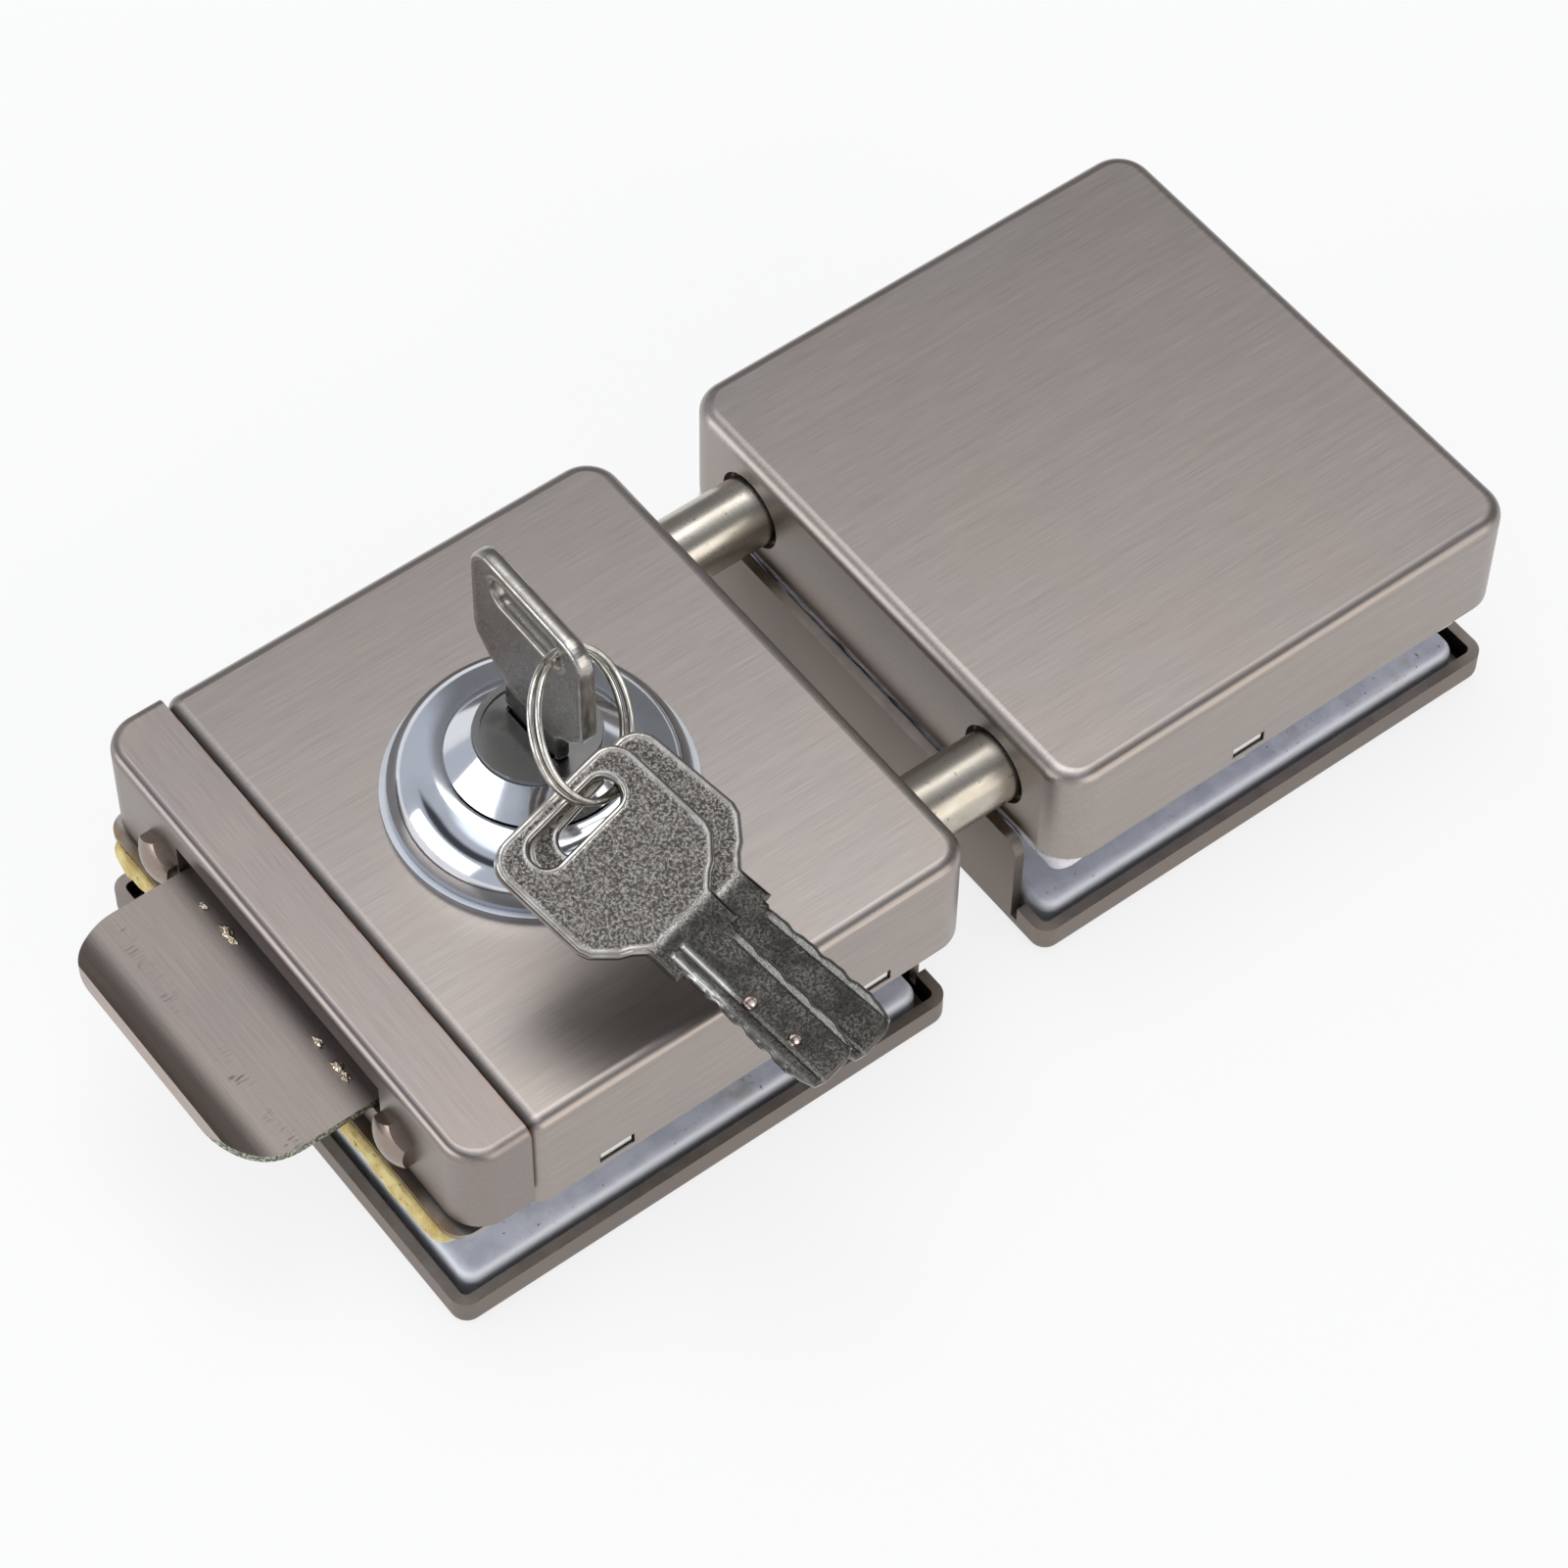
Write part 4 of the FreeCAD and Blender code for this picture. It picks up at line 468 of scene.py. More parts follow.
def adhesive_foam(name, light, dark, stain, pale_fringe_highlight):
    """Die-cut foam pad with a waxy adhesive face.

    To the eye: dull foam with fine open cells, darker grease stains and specks, and a pale band along the
    bottom of the sides: partly fraying of the cut edge, partly a painted highlight from the plate edge
    beneath.
    """
    material, tree = new_material(name)
    at = place_of(tree)
    cells = noise(tree, at, 0.30, (1, 1, 1), 3.0, 0.6)
    stains = noise(tree, at, 3.0, (1, 1, 1), 4.0)
    specks = noise(tree, at, 0.8, (1, 1, 1), 2.0)
    shown = mix_colour(tree, ramp(tree, stains, 0.35, 0.65), hex_colour(light), hex_colour(dark))
    shown = mix_colour(tree, ramp(tree, cells, 0.45, 0.7, 0.0, 0.4), shown, hex_colour(light))
    shown = mix_colour(tree, ramp(tree, specks, 0.64, 0.72, 0.0, 0.8), shown, hex_colour(stain))
    # Pale band on the lowest part of the sides: partly fraying, partly a painted highlight from the plate
    # edge beneath.
    fringe_highlight_share = add_node(tree, "ShaderNodeAttribute", {"attribute_name": "pale_fringe_highlight"}).outputs["Fac"]
    shown = mix_colour(tree, fringe_highlight_share, shown, hex_colour(pale_fringe_highlight))
    shader = add_node(tree, "ShaderNodeBsdfPrincipled", inputs={
        "Base Color": shown, "Roughness": ramp(tree, cells, 0.3, 0.7, 0.6, 0.85),
        "Normal": bump(tree, cells, 0.10), "IOR": 1.45, "Subsurface Weight": 0.12,
        "Subsurface Scale": 0.6 * MM, "Subsurface Radius": (1.0, 0.8, 0.5)}).outputs["BSDF"]
    return finish_material(material, tree, shader, diffuse_color=hex_colour(light))


def weld_metal(name):
    """Splashes of weld at the foot of the pull tab.

    To the eye: bright knobbly drops with a warm straw tint.
    """
    material, tree = new_material(name)
    at = place_of(tree)
    lumps = noise(tree, at, 0.5, (1, 1, 1), 3.0)
    shown = mix_colour(tree, ramp(tree, lumps, 0.35, 0.65), hex_colour("#E4D8C8"), hex_colour("#A8937C"))
    shader = metal(tree, shown, ramp(tree, lumps, 0.3, 0.7, 0.15, 0.35), bump(tree, lumps, 0.15))
    return finish_material(material, tree, shader, diffuse_color=hex_colour("#CDBFAE"))


def turned_brass(name):
    """Turned brass of the nut and the tumbler pins.

    To the eye: a dull gold with fine turning rings.
    """
    material, tree = new_material(name)
    at = place_of(tree)
    rings = noise(tree, at, 0.15, (1, 1, 1), 3.0)
    shown = mix_colour(tree, ramp(tree, rings, 0.3, 0.7), hex_colour("#C29A50"), hex_colour("#A98343"))
    shader = metal(tree, shown, ramp(tree, rings, 0.3, 0.7, 0.22, 0.34), bump(tree, rings, 0.01))
    return finish_material(material, tree, shader, diffuse_color=hex_colour("#C29A50"))


def machined_steel(name):
    """Plain machined steel of the locking bars and the cam, lightly oiled.

    To the eye: a neutral mid grey with cutter marks.
    """
    material, tree = new_material(name)
    at = place_of(tree)
    marks = noise(tree, at, 0.25, (12.0, 1.0, 1.0), 3.0)
    shown = mix_colour(tree, ramp(tree, marks, 0.3, 0.7), hex_colour("#8C8C8D"), hex_colour("#767678"))
    shader = metal(tree, shown, ramp(tree, marks, 0.3, 0.7, 0.30, 0.42), bump(tree, marks, 0.01))
    return finish_material(material, tree, shader, diffuse_color=hex_colour("#868688"))


def moulded_acetal(name):
    """White moulded acetal of the bolt bushes.

    To the eye: a milky white with a waxy shine and faint flow marks.
    """
    material, tree = new_material(name)
    at = place_of(tree)
    flow = noise(tree, at, 2.0, (1, 1, 1), 2.0)
    shown = mix_colour(tree, ramp(tree, flow, 0.3, 0.7), hex_colour("#E9E8E1"), hex_colour("#DDDBD2"))
    shader = add_node(tree, "ShaderNodeBsdfPrincipled", inputs={
        "Base Color": shown, "Roughness": ramp(tree, flow, 0.3, 0.7, 0.34, 0.44),
        "IOR": 1.48}).outputs["BSDF"]
    return finish_material(material, tree, shader, diffuse_color=hex_colour("#E9E8E1"))


# Surfaces

def add_piece(name, vertices, faces, material, smooth=True):
    """A mesh object at the origin from vertex and face arrays in millimetres."""
    mesh = bpy.data.meshes.new(name)
    mesh.from_pydata((np.asarray(vertices) * MM).tolist(), [], [list(map(int, f)) for f in faces])
    mesh.update()
    mesh.validate()
    mesh.polygons.foreach_set("use_smooth", np.full(len(mesh.polygons), smooth))
    mesh.materials.append(material)
    piece = bpy.data.objects.new(name, mesh)
    bpy.context.scene.collection.objects.link(piece)
    return piece


def grid_faces(rows, columns, closed_rows=False, closed_columns=False):
    """Quads between neighbours of a grid whose points are numbered row by row."""
    i = np.arange(rows if closed_rows else rows - 1)[:, None]
    j = np.arange(columns if closed_columns else columns - 1)[None, :]
    i2, j2 = (i + 1) % rows, (j + 1) % columns
    corners = [i * columns + j, i2 * columns + j, i2 * columns + j2, i * columns + j2]
    return np.stack(corners, -1).reshape(-1, 4)


def point_outwards(piece):
    """Merge doubles and turn every face of a closed piece outwards."""
    work = bmesh.new()
    work.from_mesh(piece.data)
    bmesh.ops.remove_doubles(work, verts=work.verts, dist=1e-7)
    bmesh.ops.recalc_face_normals(work, faces=work.faces)
    work.to_mesh(piece.data)
    work.free()


def rotation(axis, degrees):
    """The 3 by 3 turn about Y or Z."""
    c, s = math.cos(math.radians(degrees)), math.sin(math.radians(degrees))
    if axis == "Z":
        return np.array([[c, -s, 0], [s, c, 0], [0, 0, 1]])
    return np.array([[c, 0, s], [0, 1, 0], [-s, 0, c]])


def build_split_ring(material, centre, heading, tilt, start):
    """The split ring. A point at angle a of the helix lies at radius r and height pitch a / 2 pi; the
    tube adds the wire's radius times the cosine outwards and the sine across. Both ends are rounded."""
    steps_per_turn, wire_sides = 160, 20
    along = np.linspace(0, RING_TURNS, RING_TURNS * steps_per_turn + 1)
    caps = RING_WIRE * (1 - np.cos(np.linspace(0, math.pi / 2, 6))) / (2 * math.pi * RING_RADIUS)
    along = np.unique(np.concatenate([caps, along, RING_TURNS - caps]))
    near_end = np.minimum(along, RING_TURNS - along) * 2 * math.pi * RING_RADIUS
    wire = np.sqrt(np.clip(1 - (1 - np.clip(near_end / RING_WIRE, 0, 1)) ** 2, 1e-4, 1)) * RING_WIRE
    turn = 2 * math.pi * along
    middle = np.stack([RING_RADIUS * np.cos(turn), RING_RADIUS * np.sin(turn),
                       RING_PITCH * (along - RING_TURNS / 2)], -1)
    out = np.stack([np.cos(turn), np.sin(turn), np.zeros_like(turn)], -1)
    slope = RING_PITCH / (2 * math.pi * RING_RADIUS)
    across = np.stack([slope * np.sin(turn), -slope * np.cos(turn), np.ones_like(turn)], -1)
    round_ = np.linspace(0, 2 * math.pi, wire_sides, endpoint=False)
    points = (middle[:, None] + wire[:, None, None] * (
        np.cos(round_)[None, :, None] * out[:, None] + np.sin(round_)[None, :, None] * across[:, None]))
    rows, columns = points.shape[:2]
    flat = points.reshape(-1, 3) @ (rotation("Z", heading) @ rotation("Y", tilt) @ rotation("Z", start)).T
    faces = [list(f) for f in grid_faces(rows, columns, closed_columns=True)]
    faces.append(list(range(columns)))
    faces.append(list(range((rows - 1) * columns, rows * columns))[::-1])
    piece = add_piece("split_ring_wire", flat + np.array(centre), faces, material)
    point_outwards(piece)
    return piece


def key_outline():
    """The corners of a key's outline, counter-clockwise from the tip, head corners rounded and the
    milled sides of the blade a little wavy: two sines of 4.3 and 2.2 mm along it."""
    half = BLADE_WIDTH / 2
    head = HEAD_WIDTH / 2
    side = []
    for step in np.linspace(0, 1, 41):
        z = -BLADE_LENGTH + TIP_CHAMFER + 0.3 + step * (BLADE_LENGTH - TIP_CHAMFER - ROOT_LENGTH - 1.2)
        wave = 0.16 * math.sin(z * 1.45) + 0.10 * math.sin(z * 2.9 + 1.0)
        side.append((half - 0.20 + wave * 0.75, z))
    right = [(half - TIP_CHAMFER - 0.2, -BLADE_LENGTH), (half - TIP_CHAMFER * 0.45, -BLADE_LENGTH + 0.55)]
    right += side
    right += [(half, -ROOT_LENGTH - 0.5), (half, -ROOT_LENGTH), (ROOT_WIDTH / 2, -ROOT_LENGTH),
              (ROOT_WIDTH / 2, 0.0), (head - HEAD_CHAMFER - 0.4, HEAD_SLOPE - 0.14),
              (head - HEAD_CHAMFER + 0.9, HEAD_SLOPE + 0.55),
              (head - 0.55, HEAD_SLOPE + HEAD_CHAMFER - 0.9), (head, HEAD_SLOPE + HEAD_CHAMFER + 0.5)]
    for angle in np.linspace(0, math.pi / 2, 10):
        right.append((head - HEAD_ROUND + HEAD_ROUND * math.cos(angle),
                      HEAD_HEIGHT - HEAD_ROUND + HEAD_ROUND * math.sin(angle)))
    return np.array(right + [(-y, z) for y, z in reversed(right)])


def outline_distance(points, outline):
    """How far each point lies from a closed outline, negative inside."""
    a, b = outline, np.roll(outline, -1, 0)
    e = b - a
    w = points[:, None] - a
    t = np.clip((w * e).sum(-1) / np.maximum((e ** 2).sum(-1), 1e-12), 0, 1)
    gap = np.sqrt(((w - e * t[..., None]) ** 2).sum(-1).min(1))
    straddles = (a[:, 1] > points[:, None, 1]) != (b[:, 1] > points[:, None, 1])
    rise = np.where(e[:, 1] == 0, 1, e[:, 1])
    crossing = a[:, 0] + (points[:, None, 1] - a[:, 1]) * e[:, 0] / rise
    inside = (straddles & (points[:, None, 0] < crossing)).sum(1) % 2 == 1
    return np.where(inside, -gap, gap)


def slot_distance(points):
    """How far each point lies from the round-ended ring slot, negative inside it."""
    reach = SLOT_LENGTH / 2 - SLOT_HEIGHT / 2
    beside = points[:, 0] - np.clip(points[:, 0], -reach, reach)
    return np.hypot(beside, points[:, 1] - SLOT_RISE) - SLOT_HEIGHT / 2


def ease(value, low, high):
    """A smooth step from 0 at low to 1 at high."""
    t = np.clip((value - low) / (high - low), 0, 1)
    return t * t * (3 - 2 * t)


def key_relief(points, edge, slot, worn, dimples):
    """Half thickness of a key at each point, and its pebble, cut, copper and shank shares.

    A rim 0.9 mm wide stays proud round the head and the slot, and the field between lies lower by
    the field's depth, less on the worn key. Edges are rounded by a quarter circle. Grooves, a ledge
    along one side and drilled dimples are taken from the blades of the spare keys.
    """
    y, z = points[:, 0], points[:, 1]
    half = np.full(len(points), KEY_THICK / 2)
    inward = -edge
    head = ease(z, -0.2, 0.9)
    field = ease(inward, 0.72, 1.15) * ease(slot, 0.62, 1.00) * head
    blade = 1 - ease(z, -1.2, 0.4)
    half -= (WORN_FIELD_DEPTH if worn else FIELD_DEPTH) * field
    half -= BLADE_DEPTH * blade
    pebble = np.clip(field + 0.9 * blade * ease(inward, 0.25, 0.5), 0, 1)
    shank = 0.25 * field + blade
    cut = np.zeros(len(points))
    if not worn:
        for middle in GROOVES:
            groove = (1 - ease(np.abs(y - middle), 0.26, 0.50)) * (1 - ease(z, -2.6, -1.9))
            half -= GROOVE_DEPTH * groove
            cut = np.maximum(cut, groove * (0.15 + 0.85 * ease(z, -12.0, -8.0)))
        ledge = ease(y, 2.7, 3.0) * (1 - ease(z, -6.6, -5.6))
        half -= LEDGE_DEPTH * ledge
        cut = np.maximum(cut, 0.35 * ledge)
    copper = np.zeros(len(points))
    for dy, dz, reach in dimples:
        away = np.hypot(y - dy, z - dz)
        half -= DIMPLE_DEPTH * np.sqrt(np.clip(1 - (away / reach) ** 2, 0, 1))
        copper = np.maximum(copper, 1 - ease(away, reach * 0.75, reach * 1.05))
        cut = cut * (1 - copper)
    short = np.clip(EDGE_ROUND - np.minimum(inward, slot), 0, EDGE_ROUND)
    lost = EDGE_ROUND - np.sqrt(np.clip(EDGE_ROUND ** 2 - short ** 2, 0, None))
    return np.maximum(half - lost, LEAST_HALF), pebble * (1 - cut) * (1 - copper), cut, copper, shank


def build_key(name, material, place, heading, lean, roll, worn=False, dimples=()):
    """A key. Its faces are a height over a square grid cut to the outline: cells that lie inside are
    kept, and their border points are moved along the outline's own gradient until they lie on it."""
    step = KEY_GRID
    outline = key_outline()
    y = np.arange(-HEAD_WIDTH / 2 - step, HEAD_WIDTH / 2 + 1.5 * step, step)
    z = np.arange(-BLADE_LENGTH - step, HEAD_HEIGHT + 1.5 * step, step)
    grid = np.stack(np.meshgrid(y, z, indexing="ij"), -1).reshape(-1, 2)

    def both(points):
        """The outline and the slot as one shape: negative on metal."""
        edge, slot = outline_distance(points, outline), slot_distance(points)
        return np.maximum(edge, -slot), edge, slot

    shape, edge, slot = both(grid)
    quads = grid_faces(len(y), len(z))
    kept = quads[(shape[quads] < step * 0.30).all(1)]
    used, inverse = np.unique(kept, return_inverse=True)
    quads = inverse.reshape(-1, 4)
    points = grid[used]
    sides = np.concatenate([quads[:, [k, (k + 1) % 4]] for k in range(4)])
    key_of = np.sort(sides, 1) @ np.array([len(points), 1])
    _, first, count = np.unique(key_of, return_index=True, return_counts=True)
    border = sides[first[count == 1]]
    rim = np.unique(border)
    nudge = 1e-3
    for _ in range(6):
        here = both(points[rim])[0]
        slope = np.stack([(both(points[rim] + d)[0] - here) / nudge for d in np.eye(2) * nudge], -1)
        slope /= np.maximum(np.linalg.norm(slope, axis=1, keepdims=True), 0.3)
        points[rim] -= slope * here[:, None]
    _, edge, slot = both(points)
    half, pebble, cut, copper, shank = key_relief(points, edge, slot, worn, dimples)
    count_points = len(points)
    front = np.c_[half, points]
    rear = np.c_[-half, points]
    solid = np.concatenate([front, rear])
    wall = np.c_[border[:, ::-1], border + count_points]
    faces = np.concatenate([quads, quads[:, ::-1] + count_points, wall])
    turn = rotation("Z", heading) @ rotation("Y", lean - 90) @ rotation("Z", roll)
    piece = add_piece(name, solid @ turn.T + np.array(place), faces, material)
    for layer, values in (("pebble", pebble), ("cut", cut), ("copper", copper), ("shank", shank)):
        data = piece.data.attributes.new(layer, "FLOAT", "POINT")
        data.data.foreach_set("value", np.concatenate([values, values]).astype(np.float32))
    point_outwards(piece)
    return piece


def hung_key_place(ring_centre, slot_from_ring, heading, lean):
    """The origin of a key whose slot's middle lies at slot_from_ring from the ring's centre."""
    to_head = rotation("Z", heading) @ rotation("Y", lean - 90) @ np.array([0, 0, 1.0])
    return np.array(ring_centre) + np.array(slot_from_ring) - SLOT_RISE * to_head


def rounded_rectangle(left, right, half, radius, spacing=0.7):
    """Evenly spaced points round a rectangle with round corners, from the right front corner."""
    corners = [(right, -half, -90), (right, half, 0), (left, half, 90), (left, -half, 180)]
    points = []
    for x, y, start in corners:
        cx, cy = x - math.copysign(radius, x - (left + right) / 2), y - math.copysign(radius, y)
        for angle in np.radians(np.linspace(start, start + 90, 14)):
            points.append((cx + radius * math.cos(angle), cy + radius * math.sin(angle)))
    points = np.array(points)
    closed = np.vstack([points, points[:1]])
    lengths = np.r_[0, np.cumsum(np.hypot(*np.diff(closed, axis=0).T))]
    at = np.linspace(0, lengths[-1], int(lengths[-1] / spacing), endpoint=False)
    return np.stack([np.interp(at, lengths, closed[:, k]) for k in (0, 1)], -1)


def build_pad(name, material, node, holes, seed):
    """A foam pad. Round its outline runs a profile that bulges 0.45 mm in the middle of the edge, and
    frays in and out by smoothed noise; holes for the clamp screws go straight through."""
    low, high = (np.array(c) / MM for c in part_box(node))
    outline = rounded_rectangle(low[0] + PAD_INSET, high[0] - PAD_INSET, high[1] - PAD_INSET, PAD_ROUND)
    ahead = np.roll(outline, -1, 0) - np.roll(outline, 1, 0)
    out = np.stack([ahead[:, 1], -ahead[:, 0]], -1) / np.hypot(*ahead.T)[:, None]
    dice = np.random.default_rng(seed)

    def fray(width):
        """Random values along the outline, smoothed over width points."""
        grain = dice.normal(size=len(outline))
        window = np.hanning(width)
        joined = np.r_[grain[-width:], grain, grain[:width]]
        return np.convolve(joined, window / window.sum(), "same")[width:-width]

    bottom, top = low[2] + PAD_CLEARANCE, high[2] - PAD_CLEARANCE
    profile = ((0.0, -0.35), (0.06, -0.05), (0.25, 0.30), (0.5, 0.45),
               (0.75, 0.30), (0.93, 0.0), (1.0, -0.35))
    rows = []
    for share, bulge in profile:
        push = bulge + 0.35 * fray(7) * (1 - abs(2 * share - 1) * 0.4) + 0.22 * fray(23)
        push = np.clip(push, -0.7, 0.58)
        level = np.full(len(outline), bottom + share * (top - bottom))
        rows.append(np.c_[outline + out * push[:, None], level])
    work = bmesh.new()
    loops = {0: [], 1: []}
    count = len(outline)
    walls = np.concatenate(rows)
    verts = [work.verts.new(p * MM) for p in walls]
    for a, b, c, d in grid_faces(len(rows), count, closed_columns=True):
        work.faces.new((verts[a], verts[b], verts[c], verts[d]))
    for level, first in ((0, 0), (1, (len(rows) - 1) * count)):
        loops[level] += [(verts[first + i], verts[first + (i + 1) % count]) for i in range(count)]
    sides = 24
    turn = np.linspace(0, 2 * math.pi, sides, endpoint=False)
    for x, y in holes:
        around = [(x + HOLE_RADIUS * math.cos(a), y + HOLE_RADIUS * math.sin(a)) for a in turn]
        ring = [[work.verts.new(Vector((*p, z)) * MM) for p in around] for z in (bottom, top)]
        for i in range(sides):
            after = (i + 1) % sides
            work.faces.new((ring[0][i], ring[1][i], ring[1][after], ring[0][after]))
            for level in (0, 1):
                loops[level].append((ring[level][i], ring[level][after]))
    for level in (0, 1):
        edges = [work.edges.get(pair) for pair in loops[level]]
        bmesh.ops.triangle_fill(work, edges=edges, use_beauty=True)
    bmesh.ops.recalc_face_normals(work, faces=work.faces)
    mesh = bpy.data.meshes.new(name)
    work.to_mesh(mesh)
    work.free()
    mesh.polygons.foreach_set("use_smooth", np.abs(np.array([p.normal.z for p in mesh.polygons])) < 0.95)
    height = np.array([v.co.z for v in mesh.vertices]) / MM
    # Marks the lowest 0.9 mm of the sides pale: partly fraying, partly a painted highlight from the plate
    # edge beneath.
    pale_fringe_highlight = mesh.attributes.new("pale_fringe_highlight", "FLOAT", "POINT")
    pale_fringe_highlight.data.foreach_set("value", (0.85 * ease(bottom + 0.9 - height, 0.0, 0.8)).astype(np.float32))
    mesh.materials.append(material)
    piece = bpy.data.objects.new(name, mesh)
    bpy.context.scene.collection.objects.link(piece)
    return piece


def build_weld_bead(name, material, middle, reach, seed):
    """A bead of weld where the tab passes through the cap: a squashed ball whose radius is stirred by
    three low waves, so that it looks like frozen splash."""
    u = np.linspace(0.06, math.pi - 0.06, 18)[:, None]
    v = np.linspace(0, 2 * math.pi, 28, endpoint=False)[None, :]
    dice = np.random.default_rng(seed)
    a, b, c = dice.uniform(0, 6.28, 3)
    size = 1 + 0.16 * np.sin(3 * v + a) * np.sin(u) + 0.12 * np.sin(5 * v + 2 * u + b)
    size = size + 0.10 * np.sin(4 * u + c)
    level = size * np.cos(u) + 0 * v
    ball = np.stack([size * np.sin(u) * np.cos(v), size * np.sin(u) * np.sin(v), level], -1)
    rows, columns = ball.shape[:2]
    points = ball.reshape(-1, 3) * np.array(reach) + np.array(middle)
    faces = [list(f) for f in grid_faces(rows, columns, closed_columns=True)]
    faces += [list(range(columns)), list(range((rows - 1) * columns, rows * columns))[::-1]]
    piece = add_piece(name, points, faces, material)
    point_outwards(piece)
    return piece


def build_floor():
    """The plain pale table under the lock, and the white that the camera and the metal see of it."""
    material, tree = new_material("studio_paper")
    path = add_node(tree, "ShaderNodeLightPath")
    seen = calc(tree, "MAXIMUM", path.outputs["Is Camera Ray"],
                calc(tree, "MAXIMUM", path.outputs["Is Glossy Ray"], path.outputs["Is Transmission Ray"]))
    paper = add_node(tree, "ShaderNodeBsdfDiffuse", inputs={"Color": hex_colour("#EDEDED")})
    white = add_node(tree, "ShaderNodeEmission", inputs={"Color": (1, 1, 1, 1), "Strength": 1.0})
    blend = add_node(tree, "ShaderNodeMixShader", inputs={
        0: calc(tree, "MULTIPLY", seen, 0.8), 1: paper.outputs["BSDF"], 2: white.outputs["Emission"]})
    finish_material(material, tree, blend.outputs["Shader"], diffuse_color=(0.9, 0.9, 0.9, 1))
    reach, level = 4000.0, -0.1
    corners = [(x * reach, y * reach, level) for x, y in ((-1, -1), (1, -1), (1, 1), (-1, 1))]
    floor = add_piece("studio_floor", corners, [(0, 1, 2, 3)], material, smooth=False)


def build_world():
    """A soft grey room: bluish and light to the left, darker to the right, with a dark strip above
    the left light and a glow straight overhead, and white where the camera looks past the floor."""
    world = bpy.data.worlds.new("studio_room")
    world.use_nodes = True
    bpy.context.scene.world = world
    tree = world.node_tree
    tree.nodes.clear()
    way = add_node(tree, "ShaderNodeTexCoord").outputs["Generated"]
    x, _, z = split_place(tree, way)
    room = mix_colour(tree, ramp(tree, x, 0.0, 0.3), hex_colour("#C6CBD3"), hex_colour("#7F8083"))
    strip = calc(tree, "MULTIPLY", ramp(tree, x, -0.35, -0.5, 0.0, 1.0),
                 calc(tree, "MULTIPLY", ramp(tree, z, 0.55, 0.60), ramp(tree, z, 0.72, 0.80, 1.0, 0.0)))
    room = mix_colour(tree, calc(tree, "MULTIPLY", strip, 0.92), room, hex_colour("#14161C"))
    path = add_node(tree, "ShaderNodeLightPath")
    shown = mix_colour(tree, path.outputs["Is Camera Ray"], room, (1, 1, 1, 1))
    glow = calc(tree, "MULTIPLY", ramp(tree, z, 0.86, 0.93, 0.0, 1.5),
                calc(tree, "SUBTRACT", 1.0, path.outputs["Is Camera Ray"]))
    background = add_node(tree, "ShaderNodeBackground", inputs={
        "Color": shown, "Strength": calc(tree, "ADD", 1.0, glow)})
    add_node(tree, "ShaderNodeOutputWorld", inputs={"Surface": background.outputs["Background"]})


def build_studio():
    """Floor, room and lights: a large one overhead, whose edge the tops just miss, a wide one to the
    left that the left edges and the chrome show, and a dim one in front."""
    build_floor()
    build_world()
    softbox("light_overhead", (0.18, 0.27, 1.2), (0.03, 0, 0), (0.7, 0.7), 4.3)
    softbox("light_left", (-1.06, 0.30, 0.35), (0.03, 0, 0.02), (1.1, 0.6), 5.6)
    softbox("light_front", (0.30, -1.05, 0.42), (0.03, 0, 0.02), (1.1, 0.8), 4.9, "#FFFAF4")


place_camera()
build_studio()

cover_finish = brushed_nickel("satin_nickel_cover", "#A39B96", "X")
cap_finish = brushed_nickel("satin_nickel_cap", "#8F8784", "Y", marks_and_painted_light=cap_cut_edge)
tab_finish = brushed_nickel("satin_nickel_tab", "#8C8480", "Y", rough=0.42, marks_and_painted_light=tab_stretch_marks)
lip_finish = brushed_nickel("satin_nickel_lip", "#A8A4A2", "X", shade=0.04, marks_and_painted_light=lip_tones)
# The rear covers' base colour is darker than the covers': a painted shade that matches the walls in the
# gap between the boxes.
rear_finish = brushed_nickel("satin_nickel_rear", "#837A74", "X", shade=0.03, rough=0.46,
                             marks_and_painted_light=rear_painted_light_and_shade)
# Painted shade: the yoke, seen through the cap's window, is given a near black steel that stands in for
# the shade inside the cap.
yoke_shade_finish = brushed_nickel("yoke_steel_painted_shade", "#4A4542", "Y")
screw_finish = brushed_nickel("worn_screw_nickel", "#96887F", "Y", rough=0.24)
zinc_finish = zinc_plate("zinc_plated_steel")
chrome_finish = polished_chrome("polished_chrome")
# Painted reflection: the plug's chrome is darkened to stand in for the key and the dark room it mirrors.
plug_finish = polished_chrome("plug_chrome_painted_reflection", "#A6A5A3", 0.14)
bolt_finish = nickel_warm_underside("nickel_warm_underside")
spare_key_finish = key_nickel("pebbled_nickel_silver", worn=False)
used_key_finish = key_nickel("worn_nickel_silver", worn=True)
ring_finish = ring_wire_steel("nickelled_spring_wire")
foam_finish = adhesive_foam("cream_foam", "#DCCB8E", "#BFA564", "#6B5A38", "#E4E8EC")
white_foam_finish = adhesive_foam("white_foam", "#F4F2F4", "#E6E2E4", "#B9AFA0", "#F6F6F8")
weld_finish = weld_metal("weld_metal")
brass_finish = turned_brass("turned_brass")
steel_finish = machined_steel("machined_steel")
acetal_finish = moulded_acetal("moulded_acetal")

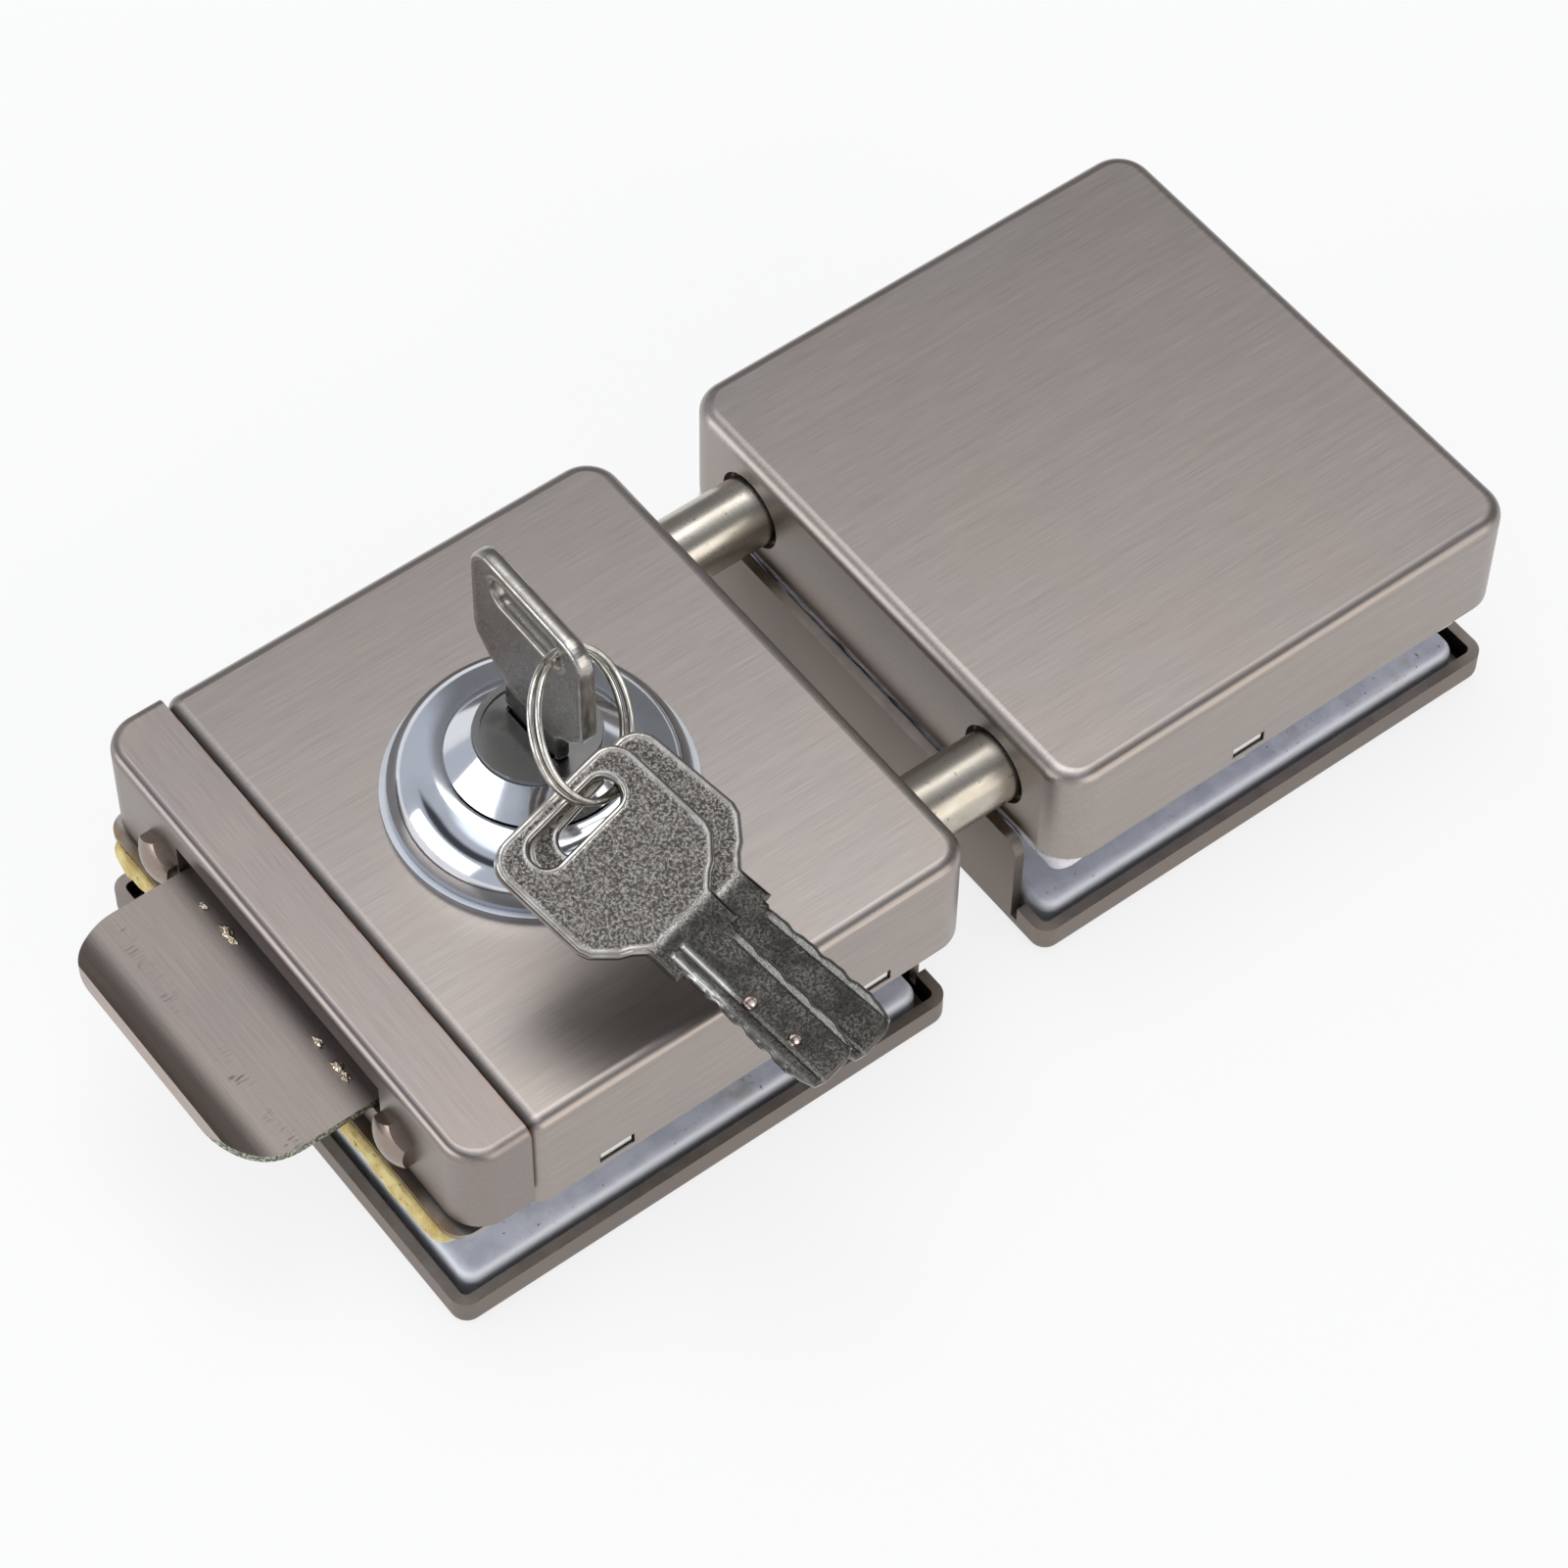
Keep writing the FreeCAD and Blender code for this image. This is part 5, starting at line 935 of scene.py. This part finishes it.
finish_of_slot = {
    "cover_steel": cover_finish, "tab_steel": tab_finish, "rear_steel": rear_finish,
    "zinc_steel": zinc_finish, "chrome": chrome_finish, "bolt_nickel": bolt_finish,
    "key_nickel": spare_key_finish, "pad_foam": foam_finish, "brass": brass_finish,
    "plain_steel": steel_finish, "bush_plastic": acetal_finish,
}
finish_of_node = {
    "end_cap": cap_finish, "lock_base_plate": lip_finish, "strike_base_plate": lip_finish,
    "plug": plug_finish, "rod_yoke": yoke_shade_finish,
    "cap_screw_front": screw_finish, "cap_screw_rear": screw_finish,
}
for part in frame["record"]["subparts"]:
    finish = finish_of_node.get(part["node"], finish_of_slot[part["material_slot"]])
    materials = frame["nodes"][part["node"]].data.materials
    materials.clear()
    materials.append(finish)

ring = build_split_ring(ring_finish, RING_CENTRE, -55.555, 57.773, -2.294)
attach(ring, "ring")
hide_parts("split_ring")

key = build_key("key_in_plug", used_key_finish, (0.0, 0.0, KEY_ROOT), 0, 90, 0, worn=True)
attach(key, "key")
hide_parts("key_inserted")

for number, body, from_ring, heading, lean, roll, dimples in (
        (1, "spare_one", (-6.993, -7.800, -5.636), -76.818, 18.636, -7.997,
         ((-1.35, -12.7, 0.95), (-0.95, -19.5, 0.9))),
        (2, "spare_two", (-2.493, -7.181, -7.724), -73.472, 18.160, -9.053, ())):
    spare = build_key(f"spare_key_{number}_blank", spare_key_finish,
                      hung_key_place(RING_CENTRE, from_ring, heading, lean), heading, lean, roll,
                      dimples=dimples)
    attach(spare, body)
    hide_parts(f"spare_key_{number}")

for side, finish, screw_x, seed in (
        ("lock", foam_finish, 23.9, 3), ("strike", white_foam_finish, 61.3, 4)):
    pad = build_pad(f"{side}_foam_pad", finish, f"{side}_glass_pad",
                    [(screw_x, -SCREW_REACH), (screw_x, SCREW_REACH)], seed)
    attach(pad, side)
    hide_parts(f"{side}_glass_pad")

for number, (x, y, size) in enumerate((
        (-40.45, 15.8, 0.55), (-40.25, 10.9, 0.85), (-40.35, 9.4, 0.6),
        (-40.3, -9.2, 0.65), (-40.45, -13.6, 0.8), (-40.5, -15.2, 0.7)), start=1):
    bead = build_weld_bead(f"tab_weld_bead_{number}", weld_finish, (x, y, TAB_TOP + size * 0.25),
                           (size * 0.8, size * 1.3, size * 0.8), 20 + number)
    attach(bead, "bolt_carriage")

bpy.context.scene.view_settings.view_transform = "Standard"
